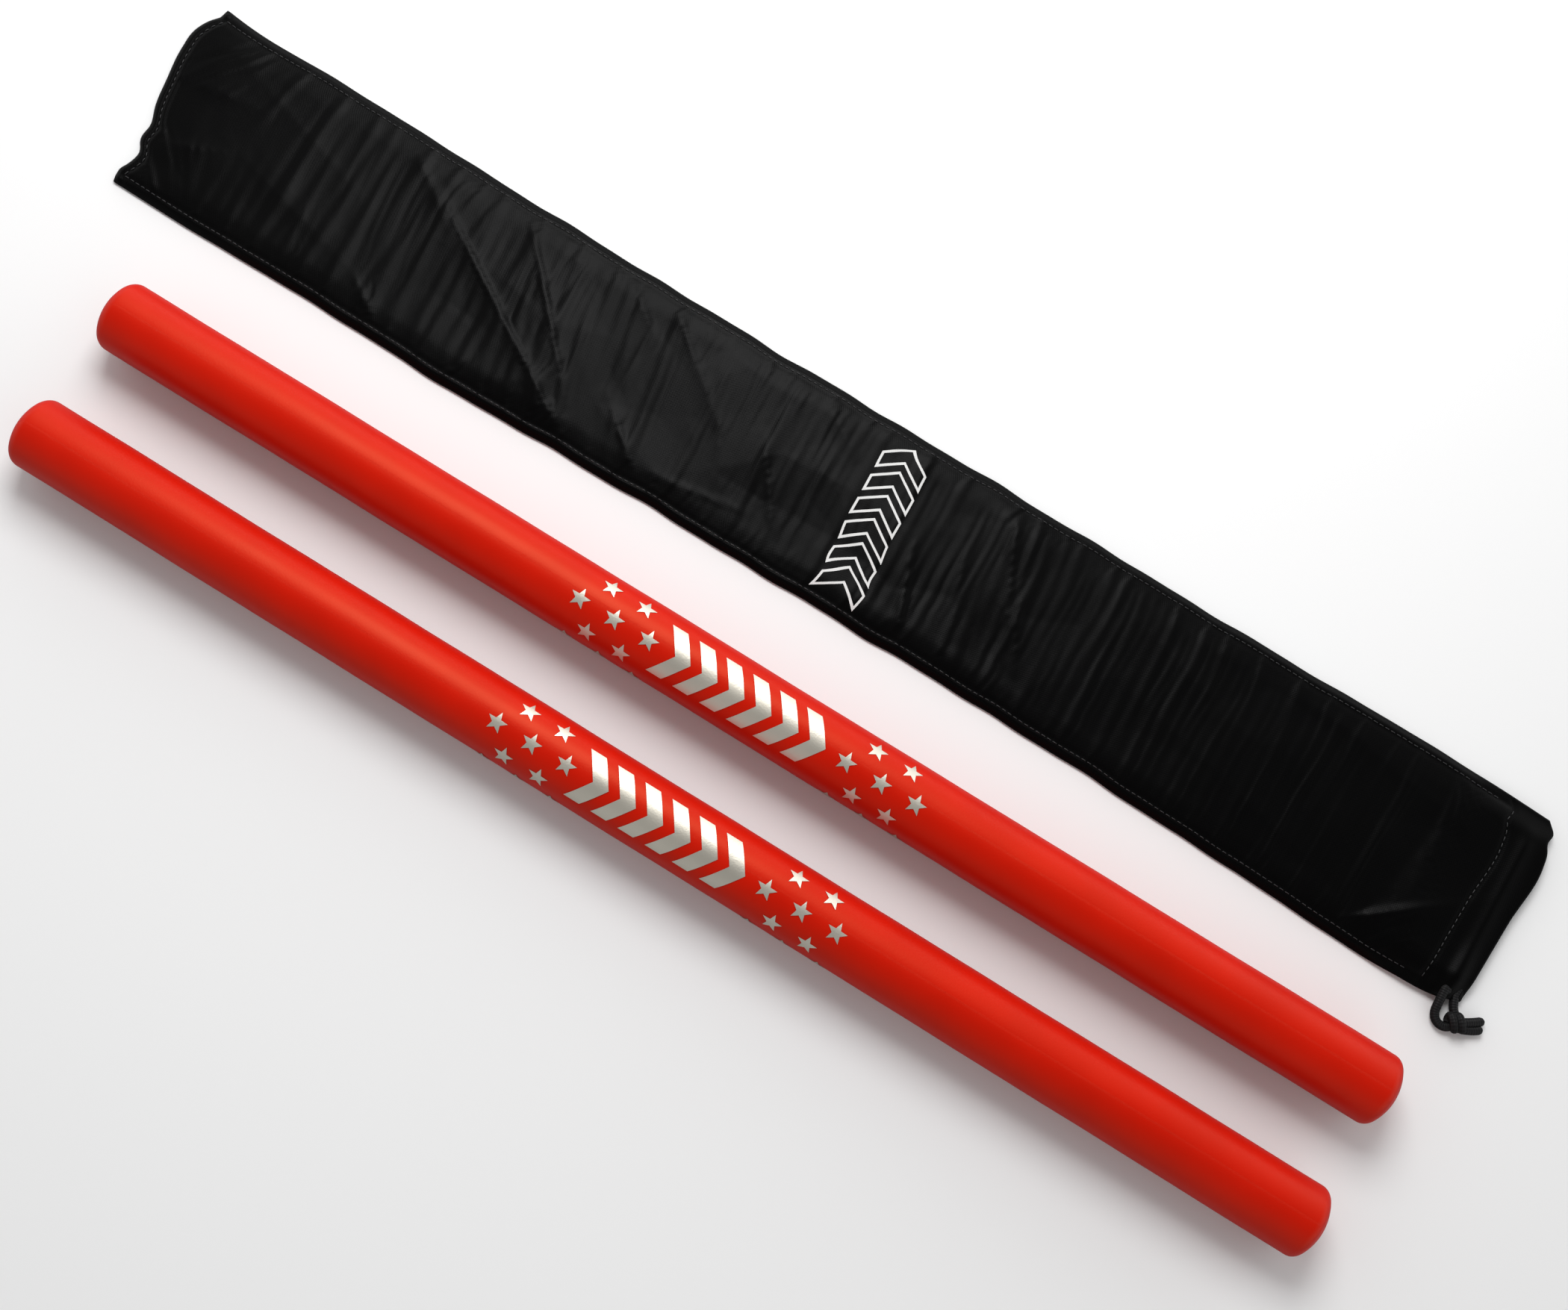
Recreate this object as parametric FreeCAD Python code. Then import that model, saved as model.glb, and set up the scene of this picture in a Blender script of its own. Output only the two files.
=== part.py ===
import FreeCAD, Part
import math
import os

# Two padded training sticks lie side by side in front of their flat drawstring carry bag.
# Millimetres. X runs along the sticks, Y across them towards the bag, Z up from the floor.
# The origin is on the floor, at the middle of the box around the sticks and the bag.

# Stick: a padded tube with a seamless skin and a domed cap at each end
STICK_LENGTH = 660.0
STICK_DIAMETER = 33.5
COVER_WALL = 0.9
DOME_DEPTH = 8.4  # how far each domed end stands past the straight part
DOME_CORNER = 5.0  # rounding between the dome and the straight part
CAP_RIM = 6.0  # straight part of an end cap, before its rounding starts
CORE_DIAMETER = 21.3
CORE_BORE = 15.8
END_FOAM = 24.0  # foam between the core's plug and the stick's tip
PLUG_FLANGE = 2.0
PLUG_SPIGOT = 12.0
PLUG_FIT = 0.1  # radial, between a plug's spigot and the core's bore
GLUE_GAP = 0.15  # radial, between layers that are glued together

# Bag: two panels sewn along three sides, with a hem casing on each panel at the mouth
BAG_LENGTH = 720.0
BAG_WIDTH = 94.0
BAG_CROWN = 15.0  # height of the slack front panel along its middle
BAG_FABRIC = 0.8
BAG_CORNER = 5.0
SEAM_MARGIN = 4.0  # flat sewn edge outside the hollow part
CLOSED_END_SLOPE = 70.0  # length over which the front panel comes down to the closed end
CLOSED_END_RISE = 0.72  # share of the height already reached halfway along that length
CASING_LENGTH = 22.0
CASING_THICKNESS = 6.0
MOUTH_CROWN = 19.0
THREAD_WIDTH = 0.8
THREAD_HEIGHT = 0.4
HEM_STITCH_INSET = 1.5  # from the casing's inner edge to its stitching

# Drawstring: a cord through both casings, knotted outside the mouth's near corner
CORD_DIAMETER = 4.0
CORD_CLEARANCE = 0.3  # radial, between the cord and its casing
FRONT_CORD_INSET = 8.0  # from the mouth's edge to the cord in the front casing
BACK_CORD_INSET = 3.0
CORD_TURN_INSET = 14.0  # from the bag's far edge to where the cord starts to turn back
CORD_TURN_WALL = 2.6  # fabric left outside the cord where it turns back
KNOT_LENGTH = 9.0
KNOT_WIDTH = 8.6
KNOT_HEIGHT = 7.6
KNOT_PLACE = (2.4, -8.5)  # along X and Y, from the mouth's near corner
LOOP_START = 5.5  # straight first run of the free loop, where it leaves the front casing
ARC_SHARE = 0.45  # share of a run that each rounded corner may use

# Where the pieces lie
STICK_PITCH = 64.1  # between the two sticks' axes
STICK_TO_BAG = 101.5  # from the nearer stick's axis to the bag's middle line
STICK_A_SHIFT = 18.5  # along X, from the bag's middle to each stick's
STICK_B_SHIFT = 17.7

# Worked out from the sizes above
STICK_RADIUS = STICK_DIAMETER / 2
CORD_RADIUS = CORD_DIAMETER / 2
FAR_EDGE = STICK_TO_BAG + BAG_WIDTH / 2
NEAR_EDGE = -STICK_PITCH - STICK_RADIUS
STICK_A_Y = -(FAR_EDGE + NEAR_EDGE) / 2
STICK_B_Y = STICK_A_Y - STICK_PITCH
BAG_Y = STICK_A_Y + STICK_TO_BAG
BAG_END = BAG_LENGTH / 2
BAG_SIDE = BAG_WIDTH / 2
CASING_X = BAG_END - CASING_LENGTH
CORE_HALF = STICK_LENGTH / 2 - END_FOAM - PLUG_FLANGE
SLEEVE_HALF = CORE_HALF + PLUG_FLANGE
COVER_HALF = STICK_LENGTH / 2 - DOME_DEPTH - CAP_RIM


def vec(x, y, z):
    return FreeCAD.Vector(x, y, z)


def save(shape, node):
    """Write one node's solids, and say what was written."""
    shape.exportStep("parts/" + node + ".step")
    print(node, len(shape.Solids), "solid", shape.isValid(), round(shape.Volume, 1))


# ---- Sticks ----


def tube(outer, inner, x0, x1):
    """A straight tube about the X axis, or a rod where inner is 0."""
    turned = Part.makeCylinder(outer, x1 - x0, vec(x0, 0, 0), vec(1, 0, 0))
    if inner:
        turned = turned.cut(Part.makeCylinder(inner, x1 - x0, vec(x0, 0, 0), vec(1, 0, 0)))
    return turned


def domed_rod(inset, x0):
    """A rod about X from x0 to the domed tip, its surface set in by inset all over.

    The crown is an arc centred on the axis and the corner is a smaller arc tangent to it
    and to the straight side, so the crown's radius follows from depth, radius and corner.
    """
    radius, corner = STICK_RADIUS, DOME_CORNER
    across = radius - corner
    crown = (DOME_DEPTH**2 + across**2 - corner**2) / (2 * (DOME_DEPTH - corner))
    crown_x = STICK_LENGTH / 2 - crown
    corner_x = STICK_LENGTH / 2 - DOME_DEPTH
    lean = math.atan2(across, corner_x - crown_x)

    def on_crown(angle):
        return vec(crown_x + (crown - inset) * math.cos(angle), (crown - inset) * math.sin(angle), 0)

    def on_corner(angle):
        reach = corner - inset
        return vec(corner_x + reach * math.cos(angle), across + reach * math.sin(angle), 0)

    side = radius - inset
    start, foot = vec(x0, 0, 0), vec(x0, side, 0)
    half_corner = (lean + math.pi / 2) / 2
    outline = Part.Wire([
        Part.LineSegment(start, foot).toShape(),
        Part.LineSegment(foot, on_corner(math.pi / 2)).toShape(),
        Part.Arc(on_corner(math.pi / 2), on_corner(half_corner), on_corner(lean)).toShape(),
        Part.Arc(on_crown(lean), on_crown(lean / 2), on_crown(0)).toShape(),
        Part.LineSegment(on_crown(0), start).toShape(),
    ])
    return Part.Face(outline).revolve(vec(0, 0, 0), vec(1, 0, 0), 360)


def end_cap():
    """Domed skin over the end foam, butted against the cover."""
    return domed_rod(0, COVER_HALF).cut(domed_rod(COVER_WALL, COVER_HALF))


def end_pad():
    """Foam behind the end cap."""
    return domed_rod(COVER_WALL + GLUE_GAP, SLEEVE_HALF)


def core_plug():
    """Plug in the end of the core: a spigot in its bore and a flange over its end."""
    spigot = tube(CORE_BORE / 2 - PLUG_FIT, 0, CORE_HALF - PLUG_SPIGOT, CORE_HALF)
    return spigot.fuse(tube(CORE_DIAMETER / 2, 0, CORE_HALF, SLEEVE_HALF)).removeSplitter()


def stick(name, x, y):
    """One whole stick lying on the floor with its middle at x, y."""
    foam_outer = STICK_RADIUS - COVER_WALL - GLUE_GAP
    whole = {
        "core_tube": tube(CORE_DIAMETER / 2, CORE_BORE / 2, -CORE_HALF, CORE_HALF),
        "foam_sleeve": tube(foam_outer, CORE_DIAMETER / 2 + GLUE_GAP, -SLEEVE_HALF, SLEEVE_HALF),
        "cover": tube(STICK_RADIUS, STICK_RADIUS - COVER_WALL, -COVER_HALF, COVER_HALF),
    }
    for part, make in (("core_plug", core_plug), ("end_pad", end_pad), ("end_cap", end_cap)):
        for end, turn in (("right", 0), ("left", 180)):
            piece = make()
            piece.rotate(vec(0, 0, 0), vec(0, 0, 1), turn)
            whole[part + "_" + end] = piece
    for part, piece in whole.items():
        piece.translate(vec(x, y, STICK_RADIUS))
        save(piece, name + "_" + part)


# ---- Bag ----


def bag_box(x0, x1, half_width, z0, z1):
    """A box centred on the bag's middle line."""
    return Part.makeBox(x1 - x0, 2 * half_width, z1 - z0, vec(x0, BAG_Y - half_width, z0))


def arch(x0, x1, half_width, base, crown):
    """A solid with a flat base and a round top, which runs along the bag."""
    near, far = vec(x0, BAG_Y - half_width, base), vec(x0, BAG_Y + half_width, base)
    outline = Part.Wire([
        Part.Arc(near, vec(x0, BAG_Y, crown), far).toShape(),
        Part.LineSegment(far, near).toShape(),
    ])
    return Part.Face(outline).extrude(vec(x1 - x0, 0, 0))


def arch_height(offset, half_width, base, crown):
    """Height of an arch's top at a distance from its middle line, and its slope there in radians."""
    rise = crown - base
    radius = (half_width**2 + rise**2) / (2 * rise)
    return crown - radius + math.sqrt(radius**2 - offset**2), math.asin(offset / radius)


def sewn_outline(z0, z1):
    """A panel's flat outline, with its closed end's corners rounded."""
    plate = bag_box(-BAG_END, CASING_X, BAG_SIDE, z0, z1)
    corners = [e for e in plate.Edges if e.BoundBox.ZLength > 0 and e.BoundBox.XMax < 0]
    corners = [e for e in corners if e.BoundBox.XLength < BAG_FABRIC and e.BoundBox.YLength < BAG_FABRIC]
    return plate.makeFillet(BAG_CORNER, corners)


def closed_end_slope(x0, crown):
    """Everything under a side view that rises from the closed end to the crown."""
    foot, top = vec(x0, 0, BAG_FABRIC), vec(x0 + CLOSED_END_SLOPE, 0, crown)
    middle_z = BAG_FABRIC + CLOSED_END_RISE * (crown - BAG_FABRIC)
    middle = vec(x0 + CLOSED_END_SLOPE / 2, 0, middle_z)
    end_top, end_foot = vec(BAG_LENGTH, 0, crown), vec(BAG_LENGTH, 0, BAG_FABRIC)
    outline = Part.Wire([
        Part.Arc(foot, middle, top).toShape(),
        Part.LineSegment(top, end_top).toShape(),
        Part.LineSegment(end_top, end_foot).toShape(),
        Part.LineSegment(end_foot, foot).toShape(),
    ])
    side = Part.Face(outline).extrude(vec(0, BAG_WIDTH, 0))
    side.translate(vec(0, BAG_Y - BAG_SIDE, 0))
    return side


def front_panel():
    """Slack upper fabric: a flat sewn edge round three sides and an arched hollow middle."""
    half = BAG_SIDE - SEAM_MARGIN
    start = -BAG_END + SEAM_MARGIN
    outer = arch(start, CASING_X, half, BAG_FABRIC, BAG_CROWN)
    outer = outer.common(closed_end_slope(start, BAG_CROWN))
    inner = arch(start, CASING_X, half - BAG_FABRIC, BAG_FABRIC, BAG_CROWN - BAG_FABRIC)
    inner = inner.common(closed_end_slope(start + 2 * BAG_FABRIC, BAG_CROWN - BAG_FABRIC))
    return sewn_outline(BAG_FABRIC, 2 * BAG_FABRIC).fuse(outer).cut(inner).removeSplitter()


def casing_run():
    """The cord's path through both casings, from the near corner round and back again."""
    half, base, crown = BAG_SIDE, 1.5 * CASING_THICKNESS, MOUTH_CROWN - CASING_THICKNESS / 2
    front_x, back_x = BAG_END - FRONT_CORD_INSET, BAG_END - BACK_CORD_INSET
    front_start = vec(front_x, BAG_Y - half, base)
    offset = half - CORD_TURN_INSET
    height, slope = arch_height(offset, half, base, crown)
    front_end = vec(front_x, BAG_Y + offset, height)
    front = Part.Arc(front_start, vec(front_x, BAG_Y, crown), front_end).toShape()
    turn_y = BAG_Y + half - CORD_TURN_WALL - CORD_RADIUS
    drop = (turn_y - front_end.y) * math.tan(slope)
    over = vec(front_x, turn_y, height - drop)
    under = vec(back_x, turn_y, CASING_THICKNESS / 2)
    back_end = vec(back_x, BAG_Y - half, CASING_THICKNESS / 2)
    return [front] + rounded_route([front_end, over, under, back_end], "casing run")


def front_casing():
    """Hem channel of the upper panel, arched over the mouth."""
    half = BAG_SIDE - SEAM_MARGIN
    outer = bag_box(CASING_X, BAG_END, BAG_SIDE, CASING_THICKNESS, 2 * CASING_THICKNESS)
    outer = outer.fuse(arch(CASING_X, BAG_END, BAG_SIDE, 2 * CASING_THICKNESS, MOUTH_CROWN))
    crown = MOUTH_CROWN - CASING_THICKNESS
    return outer.cut(arch(CASING_X, BAG_END, half, CASING_THICKNESS, crown)).removeSplitter()


def front_hem_stitch():
    """A row of thread over the front casing, near its inner edge."""
    x0 = CASING_X + HEM_STITCH_INSET
    half, base = BAG_SIDE, 2 * CASING_THICKNESS
    over = arch(x0, x0 + THREAD_WIDTH, half, base, MOUTH_CROWN)
    thread = over.copy()
    thread.translate(vec(0, 0, THREAD_HEIGHT))
    ends = bag_box(x0, x0 + THREAD_WIDTH, half - SEAM_MARGIN, base, MOUTH_CROWN + CASING_THICKNESS)
    return thread.common(ends).cut(over)


# ---- Drawstring ----


def rounded_route(points, name):
    """Straight runs joined by tangent arcs, each as large as its two runs allow.

    An arc starts ARC_SHARE of the shorter run away from its corner. Its radius is that
    distance over the tangent of half the turn, and its middle lies on the corner's bisector.
    """
    edges, here, radii = [], points[0], []
    for before, corner, after in zip(points, points[1:], points[2:]):
        arriving, leaving = corner - before, after - corner
        reach = ARC_SHARE * min(arriving.Length, leaving.Length)
        half_turn = arriving.getAngle(leaving) / 2
        radius = reach / math.tan(half_turn)
        arriving.normalize()
        leaving.normalize()
        start, end = corner - arriving * reach, corner + leaving * reach
        inward = (leaving - arriving).normalize()
        middle = corner + inward * (radius / math.cos(half_turn) - radius)
        edges += [Part.LineSegment(here, start).toShape(), Part.Arc(start, middle, end).toShape()]
        here = end
        radii.append(round(radius, 1))
    edges.append(Part.LineSegment(here, points[-1]).toShape())
    print(name, "radii", radii)
    return edges


def round_tube(edges, radius, name):
    """A round solid swept along a path, checked against its section times its length."""
    path = Part.Wire(edges)
    start = edges[0].valueAt(edges[0].FirstParameter)
    heading = edges[0].tangentAt(edges[0].FirstParameter)
    ring = Part.Wire([Part.makeCircle(radius, start, heading)])
    swept = path.makePipeShell([ring], True, False)
    share = swept.Volume / (math.pi * radius**2 * path.Length)
    print(name, "volume share", round(share, 4), "length", round(path.Length, 1))
    return swept


def from_corner(x, y, z):
    """A point given from the mouth's near corner on the floor."""
    return vec(BAG_END + x, BAG_Y - BAG_SIDE + y, z)


def knot():
    """The overhand knot that ties both ends, a flattened ball on the floor."""
    ball = Part.makeSphere(0.5).toNurbs()
    stretch = FreeCAD.Matrix()
    stretch.scale(KNOT_LENGTH, KNOT_WIDTH, KNOT_HEIGHT)
    ball = ball.transformGeometry(stretch)
    ball.translate(from_corner(*KNOT_PLACE, KNOT_HEIGHT / 2))
    return ball


def drawstring():
    """The cord in the casings, its free loop, the knot and the two short tails."""
    front, back = -FRONT_CORD_INSET, -BACK_CORD_INSET
    front_z, back_z = 1.5 * CASING_THICKNESS, CASING_THICKNESS / 2
    _, slope = arch_height(BAG_SIDE, BAG_SIDE, front_z, MOUTH_CROWN - CASING_THICKNESS / 2)
    routes = {
        "drawstring_loop": [
            from_corner(front, 0, front_z),
            from_corner(front, -LOOP_START, front_z - LOOP_START * math.tan(slope)),
            from_corner(-7.7, -9.8, 4.2),
            from_corner(-5.3, -12.8, 2.4),
            from_corner(-1.5, -13.4, 2.2),
            from_corner(1.7, -11.3, 2.8),
            from_corner(1.3, -7.4, 3.3),
            from_corner(back, -3.8, back_z),
            from_corner(back, 0, back_z),
        ],
        "drawstring_front_tail": [
            from_corner(4.2, -6.3, 3.8),
            from_corner(8.0, -3.8, 2.8),
            from_corner(11.4, -0.8, 2.2),
        ],
        "drawstring_back_tail": [
            from_corner(5.8, -10.3, 2.8),
            from_corner(9.4, -9.2, 2.2),
            from_corner(12.4, -6.3, 2.1),
        ],
    }
    for name, points in routes.items():
        save(round_tube(rounded_route(points, name), CORD_RADIUS, name), name)
    save(knot(), "drawstring_knot")
    save(round_tube(casing_run(), CORD_RADIUS, "casing run"), "drawstring_casing_run")


def cord_channel():
    """The space that the cord runs through, open past the near edge at both its ends."""
    radius = CORD_RADIUS + CORD_CLEARANCE
    edges = casing_run()
    channel = round_tube(edges, radius, "cord channel")
    first, last = edges[0], edges[-1]
    mouths = (
        (first.valueAt(first.FirstParameter), -first.tangentAt(first.FirstParameter)),
        (last.valueAt(last.LastParameter), last.tangentAt(last.LastParameter)),
    )
    for place, outward in mouths:
        channel = channel.fuse(Part.makeCylinder(radius, CASING_THICKNESS, place, outward))
    return channel


def bag():
    """The bag's panels, casings and rows of thread."""
    channel = cord_channel()
    flange_top = 2 * BAG_FABRIC
    seam_x = -BAG_END + SEAM_MARGIN / 2
    save(sewn_outline(0, BAG_FABRIC), "bag_back_panel")
    save(front_panel(), "bag_front_panel")
    save(front_casing().cut(channel), "bag_front_casing")
    back_casing = bag_box(CASING_X, BAG_END, BAG_SIDE, 0, CASING_THICKNESS)
    save(back_casing.cut(channel), "bag_back_casing")
    for side, name in ((-1, "bag_near_side_seam"), (1, "bag_far_side_seam")):
        thread = Part.makeBox(
            CASING_X - seam_x,
            THREAD_WIDTH,
            THREAD_HEIGHT,
            vec(seam_x, BAG_Y + side * (BAG_SIDE - SEAM_MARGIN / 2) - THREAD_WIDTH / 2, flange_top),
        )
        save(thread, name)
    seam_side = BAG_SIDE - SEAM_MARGIN / 2 - THREAD_WIDTH
    end_thread = bag_box(seam_x, seam_x + THREAD_WIDTH, seam_side, flange_top, flange_top + THREAD_HEIGHT)
    save(end_thread, "bag_bottom_seam")
    save(front_hem_stitch(), "bag_front_hem_stitch")
    hem_x = CASING_X + HEM_STITCH_INSET
    hem_top = CASING_THICKNESS + THREAD_HEIGHT
    hem_side = BAG_SIDE - 3 * SEAM_MARGIN
    back_stitch = bag_box(hem_x, hem_x + THREAD_WIDTH, hem_side, CASING_THICKNESS, hem_top)
    save(back_stitch, "bag_back_hem_stitch")


os.makedirs("parts", exist_ok=True)
stick("stick_a", STICK_A_SHIFT, STICK_A_Y)
stick("stick_b", STICK_B_SHIFT, STICK_B_Y)
bag()
drawstring()
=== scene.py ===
import math

import bpy
import numpy as np
from bpy.props import FloatProperty, FloatVectorProperty, IntProperty, PointerProperty
from mathutils import Matrix, Vector


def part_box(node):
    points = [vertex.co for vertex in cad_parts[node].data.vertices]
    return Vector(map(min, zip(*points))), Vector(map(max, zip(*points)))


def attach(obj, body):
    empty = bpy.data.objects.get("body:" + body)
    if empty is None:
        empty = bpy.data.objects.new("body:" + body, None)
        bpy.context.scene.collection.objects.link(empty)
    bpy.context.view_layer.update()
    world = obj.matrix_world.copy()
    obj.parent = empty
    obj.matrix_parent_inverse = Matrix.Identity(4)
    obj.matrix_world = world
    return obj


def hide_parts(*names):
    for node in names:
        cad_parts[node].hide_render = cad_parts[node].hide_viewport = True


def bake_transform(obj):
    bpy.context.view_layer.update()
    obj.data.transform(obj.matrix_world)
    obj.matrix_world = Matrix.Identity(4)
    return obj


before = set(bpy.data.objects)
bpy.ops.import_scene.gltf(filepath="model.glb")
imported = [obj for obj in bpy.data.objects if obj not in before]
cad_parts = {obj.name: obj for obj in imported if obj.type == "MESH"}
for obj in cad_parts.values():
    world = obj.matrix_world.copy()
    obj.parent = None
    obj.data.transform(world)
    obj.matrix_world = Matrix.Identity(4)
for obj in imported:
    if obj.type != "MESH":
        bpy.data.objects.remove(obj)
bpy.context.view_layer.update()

bl_info = {
    "name": "Focus Training Sticks",
    "version": (1, 0, 0),
    "blender": (4, 5, 0),
    "location": "3D View > Sidebar > Sticks",
    "description": "Makes two padded training sticks and their drawstring bag round the packed frame",
    "category": "Add Mesh",
}

MM = 0.001
SEAM = 4.6 * MM  # from the bag's edge to the thread of its seams
HEM_STITCH = 1.5 * MM  # from the hem's start to its thread
STICKS = ("stick_a", "stick_b")


# ---------------------------------------------------------------- sizes and colours


class StickSettings(bpy.types.PropertyGroup):
    """Sizes and colours of the padded sticks."""

    dome_depth: FloatProperty(
        name="Dome depth", description="How far a domed end stands out", default=8.4 * MM, unit="LENGTH"
    )
    dome_corner: FloatProperty(
        name="Dome corner", description="Rounding of the domed end's corner", default=5.0 * MM, unit="LENGTH"
    )
    padding_wave: FloatProperty(
        name="Padding wave", description="Unevenness of the padded skin", default=0.09 * MM, unit="LENGTH"
    )
    foil_lift: FloatProperty(
        name="Foil lift", description="Height of the foil above the skin", default=0.07 * MM, unit="LENGTH"
    )
    star_radius: FloatProperty(
        name="Star radius", description="From a star's middle to its tips", default=4.9 * MM, unit="LENGTH"
    )
    star_spacing: FloatProperty(
        name="Star spacing", description="Between stars along one row", default=17.4 * MM, unit="LENGTH"
    )
    row_spacing: FloatProperty(
        name="Row spacing", description="Between rows of stars, round the stick",
        default=12.2 * MM, unit="LENGTH",
    )
    chevron_count: IntProperty(name="Chevrons", description="Foil chevrons on each stick", default=6, min=1)
    chevron_height: FloatProperty(
        name="Chevron height", description="Height of a chevron, round the stick",
        default=25 * MM, unit="LENGTH",
    )
    skin_colour: FloatVectorProperty(
        name="Skin colour", description="Colour of the skin",
        default=(0.60, 0.007, 0.0012), subtype="COLOR", size=3,
    )
    foil_colour: FloatVectorProperty(
        name="Foil colour", description="Colour of the foil",
        default=(0.70, 0.66, 0.57), subtype="COLOR", size=3,
    )


class BagSettings(bpy.types.PropertyGroup):
    """Sizes and colours of the carry bag."""

    cloth: FloatProperty(name="Cloth", description="Thickness of the cloth", default=0.45 * MM, unit="LENGTH")
    slack: FloatProperty(
        name="Slack", description="Height of the empty bag along its middle", default=4.6 * MM, unit="LENGTH"
    )
    spare: FloatProperty(
        name="Spare cloth", description="Share by which the front is longer than its seams", default=0.009
    )
    set_folds: FloatProperty(
        name="Set folds", description="How much of its set folds the cloth keeps",
        default=0.5,
    )
    stitch_pitch: FloatProperty(
        name="Stitch pitch", description="From one stitch to the next", default=3.0 * MM, unit="LENGTH"
    )
    cloth_colour: FloatVectorProperty(
        name="Cloth colour", description="Colour of the satin",
        default=(0.0014, 0.0014, 0.00145), subtype="COLOR", size=3,
    )
    print_colour: FloatVectorProperty(
        name="Print colour", description="Colour of the print",
        default=(0.72, 0.72, 0.71), subtype="COLOR", size=3,
    )


class CordSettings(bpy.types.PropertyGroup):
    """Size and colour of the drawstring."""

    diameter: FloatProperty(
        name="Diameter", description="Thickness of the cord", default=4.0 * MM, unit="LENGTH"
    )
    loop_length: FloatProperty(
        name="Loop length", description="Cord in the free loop, up to the knot", default=0.035, unit="LENGTH"
    )
    colour: FloatVectorProperty(
        name="Colour", description="Colour of the cord",
        default=(0.005, 0.005, 0.0054), subtype="COLOR", size=3,
    )


class StageSettings(bpy.types.PropertyGroup):
    """Floor, lights and camera."""

    lens: FloatProperty(name="Lens", description="Focal length in millimetres", default=42.865)
    floor_colour: FloatVectorProperty(
        name="Floor colour", description="Colour of the floor",
        default=(0.93, 0.93, 0.93), subtype="COLOR", size=3,
    )
    sky: FloatProperty(name="Walls", description="Brightness of the pale walls all round", default=1.35)
    backdrop: FloatProperty(
        name="Backdrop", description="Brightness of what is seen beyond the floor",
        default=0.47,
    )
    window: FloatProperty(
        name="Window", description="How much brighter the far wall is than the near one",
        default=0.6,
    )
    ceiling: FloatProperty(name="Ceiling", description="Brightness of the dark ceiling", default=0.05)
    bounce: FloatProperty(
        name="Bounce", description="Share of the floor's colour that lights the object",
        default=0.4,
    )
    key: FloatProperty(name="Key", description="Power of the main softbox in watts", default=8.8)
    fill: FloatProperty(name="Fill", description="Power of the fill light in watts", default=1.0)


# ---------------------------------------------------------------- mesh helpers


def node_box(name):
    """Lowest and highest corner of a CAD node, as arrays."""
    low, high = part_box(name)
    return np.array(low, float), np.array(high, float)


def grid_faces(rows, columns, wrap_rows=False, wrap_columns=False):
    """Quads of a grid of points. Point (i, j) has index i * columns + j."""
    i, j = np.meshgrid(
        np.arange(rows - (not wrap_rows)), np.arange(columns - (not wrap_columns)), indexing="ij"
    )
    a, b = (i + 1) % rows, (j + 1) % columns
    corners = (i * columns + j, a * columns + j, a * columns + b, i * columns + b)
    return np.stack([c.ravel() for c in corners], axis=1)


def add_piece(name, points, faces, material, uv=None):
    """A smooth mesh object at the origin. faces is one array of faces, or a list of such arrays."""
    blocks = faces if isinstance(faces, list) else [faces]
    polygons = [face for block in blocks for face in block.tolist()]
    mesh = bpy.data.meshes.new(name)
    mesh.from_pydata(np.asarray(points, float).tolist(), [], polygons)
    mesh.polygons.foreach_set("use_smooth", np.ones(len(mesh.polygons), bool))
    if uv is not None:
        loops = np.empty(len(mesh.loops), int)
        mesh.loops.foreach_get("vertex_index", loops)
        layer = mesh.uv_layers.new(name="cloth")
        layer.data.foreach_set("uv", np.asarray(uv, float)[loops].ravel())
    mesh.update()
    piece = bpy.data.objects.new(name, mesh)
    bpy.context.scene.collection.objects.link(piece)
    mesh.materials.append(material)
    return piece


def smooth_through(places, values, at):
    """A smooth curve through given values: cubic between them, with each slope that of its neighbours."""
    places, values = np.asarray(places, float), np.asarray(values, float)
    slope = np.gradient(values, places)
    k = np.clip(np.searchsorted(places, at) - 1, 0, len(places) - 2)
    step = places[k + 1] - places[k]
    f = np.clip((at - places[k]) / step, 0, 1)
    return (
        values[k] * (1 + 2 * f) * (1 - f) ** 2
        + slope[k] * step * f * (1 - f) ** 2
        + values[k + 1] * f**2 * (3 - 2 * f)
        + slope[k + 1] * step * f**2 * (f - 1)
    )


def ramp(x, low, high):
    """0 below low, 1 above high, and a smooth step between."""
    f = np.clip((x - low) / (high - low), 0, 1)
    return f * f * (3 - 2 * f)


def unit(v):
    """Vectors of length one."""
    return v / np.maximum(np.linalg.norm(v, axis=-1, keepdims=True), 1e-12)


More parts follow.
